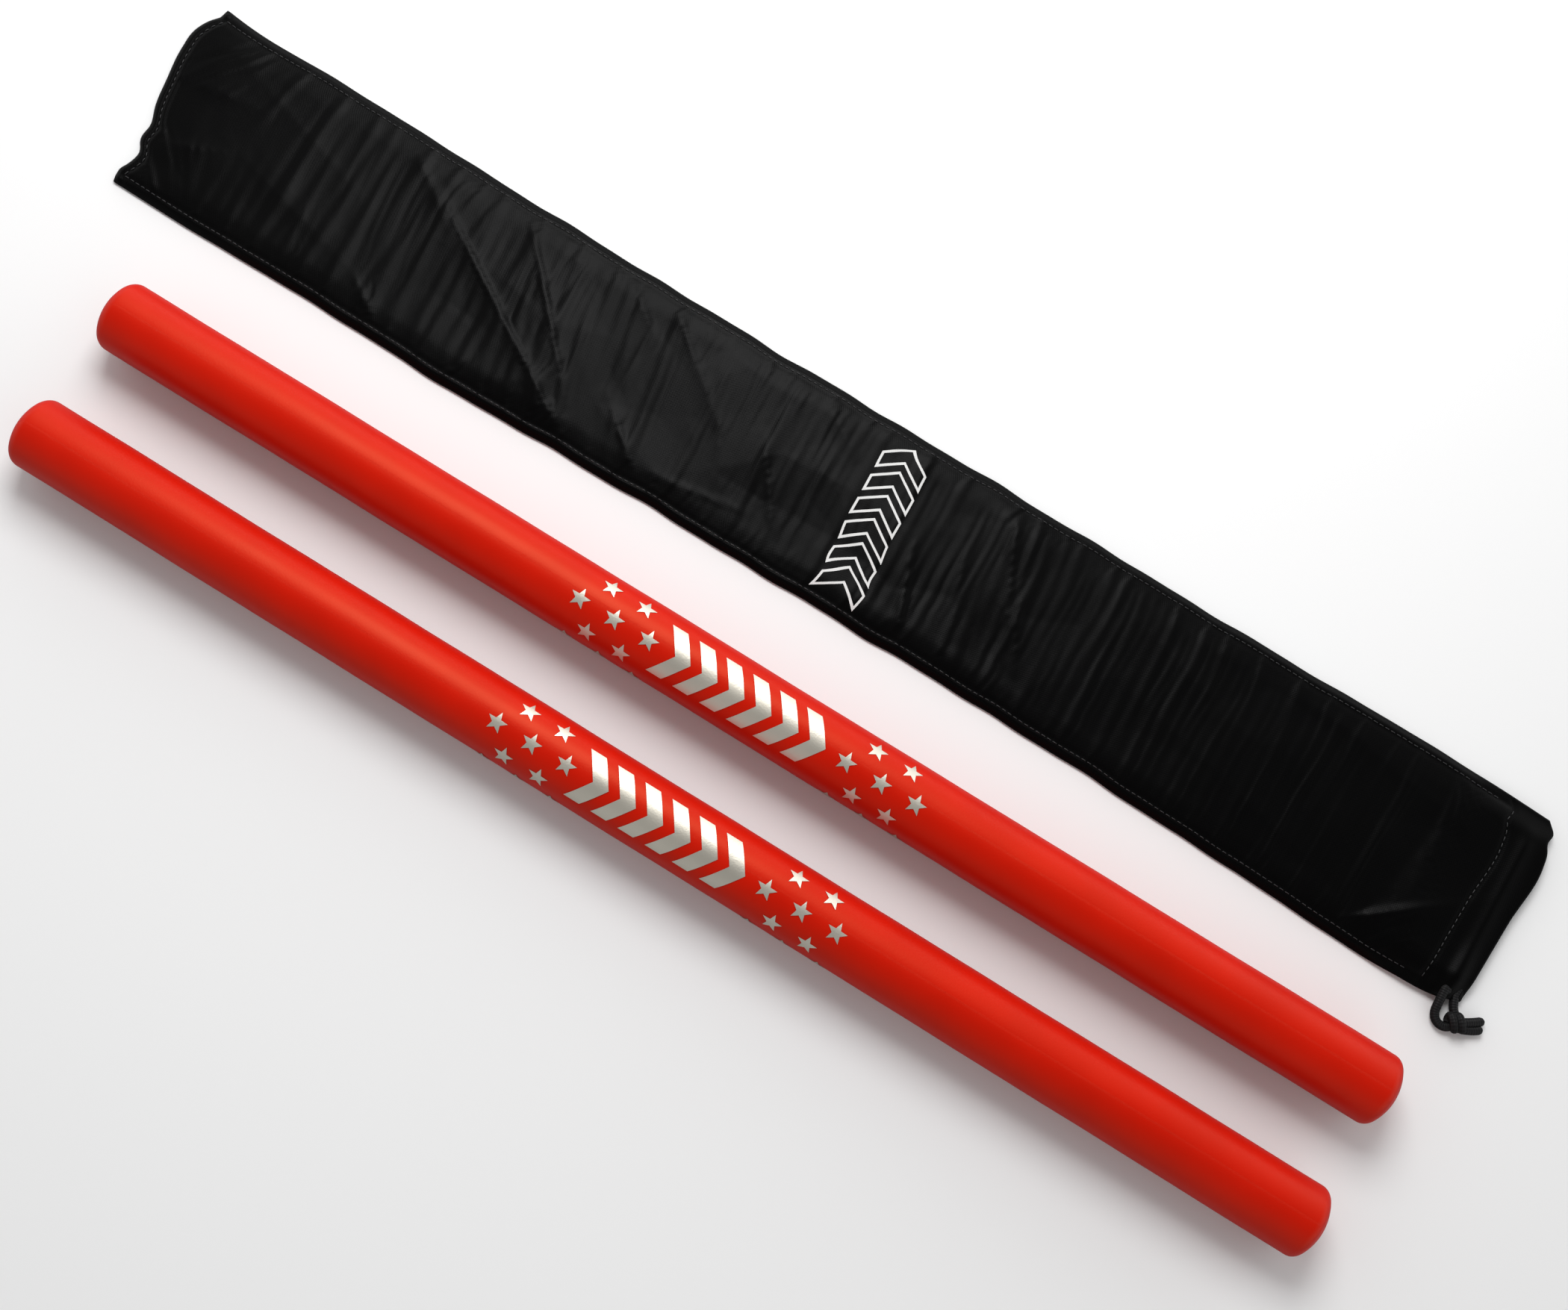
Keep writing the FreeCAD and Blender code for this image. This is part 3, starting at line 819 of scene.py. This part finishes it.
def let_go(points, settings):
    """Cloth simulation of the front panel, held along its seams and mouth, with a little spare cloth.

    The spare cloth buckles into small wrinkles over the set folds. Gravity is nearly off, because the
    full weight flattens the folds. Of each point's shift, the share 1 - set_folds is kept, up to a cap.
    """
    rows, columns = points.shape[:2]
    start = points.reshape(-1, 3)
    mesh = bpy.data.meshes.new("front_cloth")
    mesh.from_pydata(start.tolist(), [], grid_faces(rows, columns).tolist())
    cloth = bpy.data.objects.new("front_cloth", mesh)
    bpy.context.scene.collection.objects.link(cloth)
    casing_x = bag_corners()[2]
    held = ramp(points[..., 0], casing_x - 34 * MM, casing_x - 3 * MM) ** 2
    held[:3], held[:, :2], held[:, -2:] = 1, 1, 1
    group = cloth.vertex_groups.new(name="held")
    steps = np.round(held.ravel() * 24).astype(int)
    for step in range(1, 25):
        group.add(np.flatnonzero(steps == step).tolist(), step / 24, "REPLACE")
    modifier = cloth.modifiers.new("Cloth", "CLOTH")
    rules = modifier.settings
    rules.vertex_group_mass = "held"
    rules.quality = 5
    rules.mass = 0.12
    rules.tension_stiffness = rules.compression_stiffness = 12
    rules.shear_stiffness = 6
    rules.bending_stiffness = 0.6
    rules.air_damping = 2.0
    rules.shrink_min = rules.shrink_max = -settings.spare
    rules.effector_weights.gravity = 0.02
    modifier.collision_settings.use_collision = True
    modifier.collision_settings.distance_min = 0.0006
    modifier.collision_settings.use_self_collision = False
    floor = bpy.data.meshes.new("resting_floor")
    level = 1.2 * MM
    corners = [(-1, -1, level), (1, -1, level), (1, 1, level), (-1, 1, level)]
    floor.from_pydata(corners, [], [(0, 1, 2, 3)])
    rest = bpy.data.objects.new("resting_floor", floor)
    bpy.context.scene.collection.objects.link(rest)
    rest.modifiers.new("Collision", "COLLISION")
    rest.collision.thickness_outer = rest.collision.thickness_inner = 0.001
    frames = 26
    modifier.point_cache.frame_start, modifier.point_cache.frame_end = 1, frames
    for number in range(1, frames + 1):
        bpy.context.scene.frame_set(number)
    settled = cloth.evaluated_get(bpy.context.evaluated_depsgraph_get()).to_mesh()
    moved = np.empty(len(settled.vertices) * 3)
    settled.vertices.foreach_get("co", moved)
    bpy.context.scene.frame_set(1)
    for extra in (cloth, rest):
        bpy.data.objects.remove(extra)
    shift = (moved.reshape(-1, 3) - start) * (1 - settings.set_folds)
    far = np.linalg.norm(shift, axis=1, keepdims=True)
    cap = 5 * MM
    return (start + shift * np.minimum(1, cap / np.maximum(far, 1e-9))).reshape(points.shape)


def finer(points, axis):
    """Twice as many points along an axis, each new one on a cubic through its four neighbours."""
    p = np.moveaxis(points, axis, 0)
    before, after = np.concatenate([p[:1], p[:-2]]), np.concatenate([p[2:], p[-1:]])
    middle = (9 * (p[:-1] + p[1:]) - before - after) / 16
    out = np.empty((2 * len(p) - 1, *p.shape[1:]))
    out[::2], out[1::2] = p, middle
    return np.moveaxis(out, 0, axis)


def cloth_shell(top, thick_up, thick_down):
    """A closed cloth from its middle surface: moved up by one thickness and down by another, with a rim."""
    across, along = np.gradient(top, axis=1), np.gradient(top, axis=0)
    normal = unit(np.cross(along, across))
    upper = top + normal * thick_up[..., None]
    lower = top - normal * thick_down[..., None]
    rows, columns = top.shape[:2]
    points = np.concatenate([upper.reshape(-1, 3), lower.reshape(-1, 3)])
    index = np.arange(rows * columns).reshape(rows, columns)
    border = np.concatenate([index[0, :-1], index[:-1, -1], index[-1, :0:-1], index[:0:-1, 0]])
    nxt = np.roll(border, -1)
    rim = np.stack([border, border + rows * columns, nxt + rows * columns, nxt], axis=1)
    quads = grid_faces(rows, columns)
    faces = np.concatenate([quads, quads[:, ::-1] + rows * columns, rim[:, ::-1]])
    return points, faces, upper


def gather(piece):
    """Bake a piece's placement into its mesh. The line from the cord's corner to the far one is worked out but
    not used.
    """
    low, high, _ = bag_corners()
    corner = np.array([high[0], low[1]])
    back = np.array([high[0] - 0.25, high[1]]) - corner
    square = np.array([-back[1], back[0]])
    square = -square / np.linalg.norm(square)
    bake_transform(piece)


def cord_ridge(x, y, cord_x, height):
    """What the cord adds to a hem: a bell across the cord, gone at the far side."""
    far = bag_corners()[1][1]
    return height * np.exp(-(((x - cord_x) / (4.2 * MM)) ** 2)) * (1 - ramp(y, far - 20 * MM, far - 7 * MM))


def front_sheet(settings):
    """The front panel's middle surface: outline, height, then cloth simulation."""
    s, t = np.meshgrid(np.linspace(0, 1, 361), np.linspace(0, 1, 49), indexing="ij")
    x, y = bag_outline(s, t)
    points = np.stack([x, y, bag_height(x, y, s, t, settings)], axis=2)
    points = let_go(points, settings)
    points = finer(finer(points, 0), 1)
    s, t = np.meshgrid(*(np.linspace(0, 1, n) for n in points.shape[:2]), indexing="ij")
    points[..., 2] -= 0.45 * MM * pulled_in(s, t, settings)
    return points


def pulled_in(s, t, settings):
    """Where thread pulls the cloth down, from 0 to 1: bells across the lines of stitches."""
    low, high, casing_x = bag_corners()
    side = np.minimum(t, 1 - t) * (high[1] - low[1])
    end = s * (high[0] - low[0])
    hem = end - (casing_x - low[0] + HEM_STITCH)
    wide = 1.3 * MM
    rows = (
        np.exp(-(((side - SEAM) / wide) ** 2)) * (hem < 0),
        np.exp(-(((end - SEAM) / wide) ** 2)),
        np.exp(-((hem / wide) ** 2)),
    )
    return np.max(rows, axis=0) * ramp(side, 0.5 * MM, 3 * MM)


SHEETS = {}


def surface_at(s, t):
    """Points on the finished front cloth's upper side, and its normals there."""
    grid = SHEETS["front"]
    rows, columns = grid.shape[:2]
    i, j = np.clip(s, 0, 1) * (rows - 1), np.clip(t, 0, 1) * (columns - 1)
    a, b = np.minimum(i.astype(int), rows - 2), np.minimum(j.astype(int), columns - 2)
    f, g = (i - a)[..., None], (j - b)[..., None]
    p00, p10, p01, p11 = grid[a, b], grid[a + 1, b], grid[a, b + 1], grid[a + 1, b + 1]
    place = (p00 * (1 - f) + p10 * f) * (1 - g) + (p01 * (1 - f) + p11 * f) * g
    return place, unit(np.cross(p10 - p00, p01 - p00))


class MakeBag(bpy.types.Operator):
    """Make the bag's front and back cloths with their hems."""

    bl_idname = "focus_sticks.bag"
    bl_label = "Bag"

    def execute(self, context):
        settings = context.scene.bag_settings
        satin = satin_material(settings.cloth_colour)
        low, high, _ = bag_corners()
        radius = context.scene.cord_settings.diameter / 2
        cords = cord_lines(radius)
        half = settings.cloth / 2
        front = front_sheet(settings)
        ridge = cord_ridge(front[..., 0], front[..., 1], cords["front_x"], radius)
        points, faces, upper = cloth_shell(front, half + ridge, half + ridge)
        SHEETS["front"] = upper
        s, t = np.meshgrid(*(np.linspace(0, 1, n) for n in front.shape[:2]), indexing="ij")
        size = high - low
        flat = np.stack([s * size[0], t * size[1]], axis=2).reshape(-1, 2)
        uv = np.concatenate([flat, flat])
        panel = add_piece("bag_front", points, faces, satin, uv)
        s, t = np.meshgrid(np.linspace(0, 1, 361), np.linspace(0, 1, 41), indexing="ij")
        x, y = bag_outline(s, 0.004 + 0.992 * t)
        back = np.stack([x, y, np.full_like(x, 0.3 * MM + half)], axis=2)
        ridge = cord_ridge(x, y, cords["back_x"], 2 * radius)
        points, faces, _ = cloth_shell(back, half + ridge, np.full_like(x, half))
        flat = np.stack([s * size[0], t * size[1]], axis=2).reshape(-1, 2)
        under = add_piece("bag_back", points, faces, satin, np.concatenate([flat, flat]))
        for piece, nodes in ((panel, ("bag_front_panel", "bag_front_casing")),
                             (under, ("bag_back_panel", "bag_back_casing"))):
            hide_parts(*nodes)
            gather(piece)
        return {"FINISHED"}


def thread_row(name, s, t, heading_s, heading_t, material):
    """A row of stitches on the front cloth: each is a short arched tube between two needle holes."""
    place, normal = surface_at(s, t)
    ahead, _ = surface_at(s + heading_s, t + heading_t)
    along = unit(ahead - place)
    across = np.cross(normal, along)
    turn = np.linspace(0, 2 * math.pi, 6, endpoint=False)
    reach = np.linspace(-1, 1, 7)
    length, thick = 2.3 * MM, 0.24 * MM
    arch = 0.30 * MM * (1 - reach**4) - 0.12 * MM
    taper = thick * np.sqrt(np.maximum(1 - reach**6, 0.04))
    middle = (
        place[:, None]
        + along[:, None] * (reach * length / 2)[None, :, None]
        + normal[:, None] * arch[None, :, None]
    )
    ring = (
        across[:, None, None] * np.cos(turn)[None, None, :, None]
        + normal[:, None, None] * np.sin(turn)[None, None, :, None]
    )
    points = middle[:, :, None] + ring * taper[None, :, None, None]
    one = grid_faces(len(reach), len(turn), wrap_columns=True)[:, ::-1]
    block = len(reach) * len(turn)
    faces = (one[None] + (np.arange(len(s)) * block)[:, None, None]).reshape(-1, 4)
    return add_piece(name, points.reshape(-1, 3), faces, material)


class MakeStitching(bpy.types.Operator):
    """Sew the rows of thread along the bag's seams and hems."""

    bl_idname = "focus_sticks.stitching"
    bl_label = "Stitching"

    def execute(self, context):
        settings = context.scene.bag_settings
        thread = plain_material("Black thread", (0.012, 0.012, 0.013), 0.45, 2500.0, 0.00004)
        low, high, casing_x = bag_corners()
        size = high - low
        inset = SEAM
        long_count = int((casing_x - low[0] - 2 * inset) / settings.stitch_pitch)
        along = (inset + settings.stitch_pitch * (np.arange(long_count) + 0.5)) / size[0]
        end_count = int((size[1] - 2 * inset) / settings.stitch_pitch)
        across = (inset + settings.stitch_pitch * (np.arange(end_count) + 0.5)) / size[1]
        edge = inset / size[1]
        step_s, step_t = 0.8 * MM / size[0], 0.8 * MM / size[1]
        hem_s = (casing_x - low[0] + HEM_STITCH) / size[0]
        rows = (
            ("bag_near_side_stitches", along, np.full(long_count, edge), step_s, 0, "bag_near_side_seam"),
            ("bag_far_side_stitches", along, np.full(long_count, 1 - edge), step_s, 0, "bag_far_side_seam"),
            ("bag_bottom_stitches", np.full(end_count, inset / size[0]), across, 0, step_t, "bag_bottom_seam"),
            ("bag_front_hem_stitches", np.full(end_count, hem_s), across, 0, step_t, "bag_front_hem_stitch"),
        )
        for name, s, t, heading_s, heading_t, node in rows:
            piece = thread_row(name, s, t, heading_s, heading_t, thread)
            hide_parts(node)
            gather(piece)
        back = thread_row("bag_back_hem_stitches", np.full(end_count, hem_s), across, 0, step_t, thread)
        coords = np.empty(len(back.data.vertices) * 3)
        back.data.vertices.foreach_get("co", coords)
        coords = coords.reshape(-1, 3)
        lift = np.tile(np.repeat(0.3 * MM * (1 - np.linspace(-1, 1, 7) ** 4), 6), end_count)
        coords[:, 2] = 0.3 * MM + settings.cloth + lift
        back.data.vertices.foreach_set("co", coords.ravel())
        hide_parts("bag_back_hem_stitch")
        gather(back)
        return {"FINISHED"}


class MakeBagPrint(bpy.types.Operator):
    """Print the white outlined chevrons across the front of the bag."""

    bl_idname = "focus_sticks.bag_print"
    bl_label = "Bag print"

    def execute(self, context):
        settings = context.scene.bag_settings
        low, high, _ = bag_corners()
        size = high - low
        parts, count = [], 6
        pitch, width, arm, height = 12.5 * MM, 7.4 * MM, 8.0 * MM, 22 * MM
        start = (size[1] - (pitch * (count - 1) + width + arm)) / 2
        left = 26.5 * MM - low[0] - height / 2
        line = 1.15 * MM
        for k in range(count):
            tip = start + k * pitch
            corners = np.array([
                (0, 0), (width, 0), (width + arm, height / 2), (width, height), (0, height), (arm, height / 2)
            ])
            parts.append(outline_strip(corners, line) + [left, 0] + [0, tip])
        flat = np.concatenate([p.reshape(-1, 2) for p in parts])
        place, normal = surface_at(flat[:, 0] / size[0], flat[:, 1] / size[1])
        rows, columns = parts[0].shape[:2]
        one = grid_faces(rows, columns, wrap_rows=True)
        faces = np.concatenate([one + k * rows * columns for k in range(count)])
        piece = add_piece("bag_print", place + normal * 0.1 * MM, faces, ink_material(settings.print_colour))
        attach(piece, "bag")
        return {"FINISHED"}


def square_to(d):
    """Flat directions turned by a quarter."""
    return np.stack([d[:, 1], -d[:, 0]], axis=1)


def outline_strip(corners, line, steps=26):
    """A line of even width round a closed figure, as rings of points inside and outside its edge.

    Each corner is moved along its bisector by half the line over the cosine of half the turn,
    and the sides are straight between moved corners.
    """
    before, after = np.roll(corners, 1, axis=0), np.roll(corners, -1, axis=0)
    arriving, leaving = unit(corners - before), unit(after - corners)
    bisector = unit(square_to(arriving) + square_to(leaving))
    reach = 1 / np.maximum((bisector * square_to(arriving)).sum(1), 0.35)
    rings = []
    for side in np.linspace(-1, 1, 3):
        moved = corners + bisector * (side * line / 2 * reach)[:, None]
        share = np.linspace(0, 1, steps, endpoint=False)[None, :, None]
        ring = moved[:, None] * (1 - share) + np.roll(moved, -1, axis=0)[:, None] * share
        rings.append(ring.reshape(-1, 2))
    strip = np.stack(rings, axis=1)
    return strip[..., ::-1]


# ---------------------------------------------------------------- drawstring


def cord_lines(radius):
    """Where the cord runs in the two hems, and the mouth's near corner."""
    low, high = node_box("bag_back_casing")
    corner = np.array([high[0], low[1], 0.0])
    return {"front_x": corner[0] - 8.0 * MM, "back_x": corner[0] - 3.0 * MM, "corner": corner,
            "far_y": high[1], "front_z": 4.6 * MM, "back_z": 0.75 * MM + radius}


def nurbs_points(name, route):
    """Points along the smooth line that a route's points steer, ends included."""
    data = bpy.data.curves.new(name, "CURVE")
    data.dimensions = "3D"
    spline = data.splines.new("NURBS")
    spline.points.add(len(route) - 1)
    spline.points.foreach_set("co", np.c_[route, np.ones(len(route))].ravel())
    spline.order_u = 3
    spline.use_endpoint_u = True
    spline.resolution_u = 12
    carrier = bpy.data.objects.new(name, data)
    line = bpy.data.meshes.new_from_object(carrier)
    points = np.empty(len(line.vertices) * 3)
    line.vertices.foreach_get("co", points)
    bpy.data.meshes.remove(line)
    bpy.data.objects.remove(carrier)
    bpy.data.curves.remove(data)
    return points.reshape(-1, 3)


def knot_shape(centre, radius):
    """The knot: the cord wound one and three quarter turns, leaning, round the two strands."""
    turn = np.linspace(-0.2, 1.55, 90) * 2 * math.pi
    middle = turn.mean()
    axis = unit(np.array([0.86, 0.45, 0.05]))
    side = unit(np.cross([0, 0, 1], axis))
    up = np.cross(axis, side)
    wide, tall, pitch = 2.9 * MM, 1.85 * MM, 3.4 * MM
    path = (
        centre
        + np.outer(np.cos(turn) * wide, side)
        + np.outer(np.sin(turn) * tall, up)
        + np.outer((turn - middle) / (2 * math.pi) * pitch, axis)
    )
    return round_tube(path, radius, 20, axis)


class MakeDrawstring(bpy.types.Operator):
    """Make the drawstring: its run in the hems, the free loop, the knot and the tails."""

    bl_idname = "focus_sticks.drawstring"
    bl_label = "Drawstring"

    def execute(self, context):
        settings = context.scene.cord_settings
        radius = settings.diameter / 2
        braid = cord_material(settings.colour)
        lines = cord_lines(radius)
        corner = lines["corner"]

        def route(*points):
            """Places in millimetres from the mouth's near corner."""
            return corner + np.array(points) * MM

        loop = nurbs_points("loop", route(
            (-9.2, 1.5, 4.5), (-8.8, -5.5, 3.9), (-8.2, -9.8, 2.7), (-5.6, -13.0, 2.1), (-1.5, -13.6, 2.1),
            (1.7, -11.3, 2.8), (1.3, -7.4, 3.3), (-2.6, -3.2, 3.0), (-3.4, 1.5, 2.8),
        ))
        front_tail = nurbs_points("front_tail", route((2.6, -8.6, 3.6), (7.0, -6.6, 3.2), (11.6, -3.0, 2.3)))
        back_tail = nurbs_points("back_tail", route((3.0, -10.8, 2.6), (7.8, -10.0, 2.2), (12.6, -6.6, 2.2)))
        up = np.array([0.0, 0.0, 1.0])
        made = {"drawstring_loop_cord": [round_tube(loop, radius, 20, up)]}
        made["drawstring_knot_and_tails"] = [
            knot_shape(corner + np.array([1.9, -9.3, 3.9]) * MM, radius * 0.94),
            round_tube(front_tail, radius * 1.04, 20, up),
            round_tube(back_tail, radius * 1.04, 20, up),
        ]
        far = lines["far_y"] - 24.0 * MM
        depth = (lines["front_z"] + lines["back_z"]) / 2
        run = np.array([
            (lines["front_x"], corner[1] + 1.0 * MM, lines["front_z"] - 0.6 * MM),
            (lines["front_x"], corner[1] + 12 * MM, lines["front_z"]),
            (lines["front_x"], corner[1] + 44 * MM, lines["front_z"]),
            (lines["front_x"], far - 9 * MM, lines["front_z"]),
            (lines["front_x"] - 1 * MM, far, lines["front_z"]),
            (lines["front_x"] + 2.5 * MM, far + 3.5 * MM, depth),
            (lines["back_x"] + 1 * MM, far, lines["back_z"]),
            (lines["back_x"], far - 9 * MM, lines["back_z"]),
            (lines["back_x"], corner[1] + 44 * MM, lines["back_z"]),
            (lines["back_x"], corner[1] + 12 * MM, lines["back_z"]),
            (lines["back_x"], corner[1] + 1.0 * MM, lines["back_z"]),
        ])
        made["drawstring_run_in_hems"] = [round_tube(nurbs_points("run", run), radius * 0.98, 16, up)]
        stands_for = {
            "drawstring_loop_cord": ("drawstring_loop",),
            "drawstring_knot_and_tails": ("drawstring_knot", "drawstring_front_tail", "drawstring_back_tail"),
            "drawstring_run_in_hems": ("drawstring_casing_run",),
        }
        for name, parts in made.items():
            points, faces, uv = joined(parts)
            piece = add_piece(name, points, faces, braid, uv)
            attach(piece, "drawstring")
            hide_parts(*stands_for[name])
        return {"FINISHED"}


# ---------------------------------------------------------------- stage


def floor_material(colour, bounce):
    """Pale floor that lights the object less than it shows."""
    material, tree, shader = new_material("Pale floor", Roughness=0.9)
    seen = put(tree, "ShaderNodeLightPath").outputs["Is Camera Ray"]
    tree.links.new(colours(tree, seen, shade(colour, bounce), colour), shader.inputs["Base Color"])
    return material


def soft_light(name, place, aim, size, power):
    """A rectangular softbox that faces a point."""
    light = bpy.data.lights.new(name, "AREA")
    light.shape, light.size, light.size_y = "RECTANGLE", *size
    light.energy = power
    lamp = bpy.data.objects.new(name, light)
    lamp.location = place
    lamp.rotation_mode = "QUATERNION"
    lamp.rotation_quaternion = (Vector(aim) - Vector(place)).to_track_quat("-Z", "Y")
    bpy.context.scene.collection.objects.link(lamp)


class MakeStage(bpy.types.Operator):
    """Set up the camera, the soft studio light and the pale floor."""

    bl_idname = "focus_sticks.stage"
    bl_label = "Stage"

    def execute(self, context):
        settings = context.scene.stage_settings
        scene = context.scene
        camera = bpy.data.objects.new("camera", bpy.data.cameras.new("camera"))
        scene.collection.objects.link(camera)
        camera.data.lens = settings.lens
        camera.data.clip_start, camera.data.clip_end = 0.01, 200
        right = Vector((0.851289, 0.522229, 0.050827)).normalized()
        ahead = Vector((-0.048698, 0.175091, -0.983347)).normalized()
        up = right.cross(ahead).normalized()
        right = ahead.cross(up)
        turned = Matrix((right, up, -ahead)).transposed().to_4x4()
        camera.matrix_world = Matrix.Translation((0.06594, -0.15155, 0.82449)) @ turned
        scene.camera = camera
        scene.view_settings.view_transform = "Standard"
        world = bpy.data.worlds.new("studio")
        world.use_nodes = True
        tree = world.node_tree
        way = put(tree, "ShaderNodeTexCoord").outputs["Generated"]
        direction = put(tree, "ShaderNodeSeparateXYZ", {0: way})
        lowness = calc(tree, "SUBTRACT", 1.0, calc(tree, "ABSOLUTE", direction.outputs["Z"]))
        window = calc(tree, "MULTIPLY_ADD", direction.outputs["Y"], settings.window, 1.0)
        walls = calc(tree, "MULTIPLY", calc(tree, "MULTIPLY", lowness, window), settings.sky)
        light = calc(tree, "ADD", walls, settings.ceiling)
        rise = put(tree, "ShaderNodeMapRange",
                   {0: direction.outputs["Z"], 1: 0.0, 2: 0.35, 3: settings.backdrop, 4: 0.9})
        seen = put(tree, "ShaderNodeLightPath").outputs["Is Camera Ray"]
        either = {"Factor": seen, 2: light, 3: rise.outputs[0]}
        strength = put(tree, "ShaderNodeMix", either, data_type="FLOAT")
        tree.links.new(strength.outputs[0], tree.nodes["Background"].inputs["Strength"])
        tree.nodes["Background"].inputs["Color"].default_value = (1, 1, 1, 1)
        scene.world = world
        soft_light("key softbox", (-0.27, 0.56, 0.92), (-0.08, 0.02, 0), (0.60, 0.56), settings.key)
        soft_light("fill softbox", (1.3, -0.9, 0.7), (0.25, 0, 0), (0.9, 0.6), settings.fill)
        floor = floor_material(settings.floor_colour, settings.bounce)
        corners = np.array([(-90, -90, 0), (90, -90, 0), (90, 90, 0), (-90, 90, 0)], float)
        ground = add_piece("floor", corners, np.array([[0, 1, 2, 3]]), floor)
        return {"FINISHED"}


# ---------------------------------------------------------------- add-on


class FocusSticksPanel(bpy.types.Panel):
    """The pieces that can be made."""

    bl_idname = "VIEW3D_PT_focus_sticks"
    bl_label = "Focus Training Sticks"
    bl_space_type = "VIEW_3D"
    bl_region_type = "UI"
    bl_category = "Sticks"

    def draw(self, context):
        for maker in MAKERS:
            self.layout.operator(maker.bl_idname)
        for group in SETTINGS:
            settings = getattr(context.scene, group)
            for key in settings.__annotations__:
                self.layout.prop(settings, key)


SETTINGS = {
    "stick_settings": StickSettings,
    "bag_settings": BagSettings,
    "cord_settings": CordSettings,
    "stage_settings": StageSettings,
}
MAKERS = (MakeStage, MakeDrawstring, MakeSticks, MakeFoil, MakeBag, MakeStitching, MakeBagPrint)


def register():
    """Add the pieces, settings and panel to Blender."""
    for kind in (*SETTINGS.values(), *MAKERS, FocusSticksPanel):
        bpy.utils.register_class(kind)
    for name, kind in SETTINGS.items():
        setattr(bpy.types.Scene, name, PointerProperty(type=kind))


def unregister():
    """Take them out again."""
    for name in SETTINGS:
        delattr(bpy.types.Scene, name)
    for kind in (FocusSticksPanel, *reversed(MAKERS), *reversed(list(SETTINGS.values()))):
        bpy.utils.unregister_class(kind)


def main():
    """Make every piece in order."""
    register()
    for maker in MAKERS:
        group, name = maker.bl_idname.split(".")
        getattr(getattr(bpy.ops, group), name)()


if __name__ == "__main__":
    main()
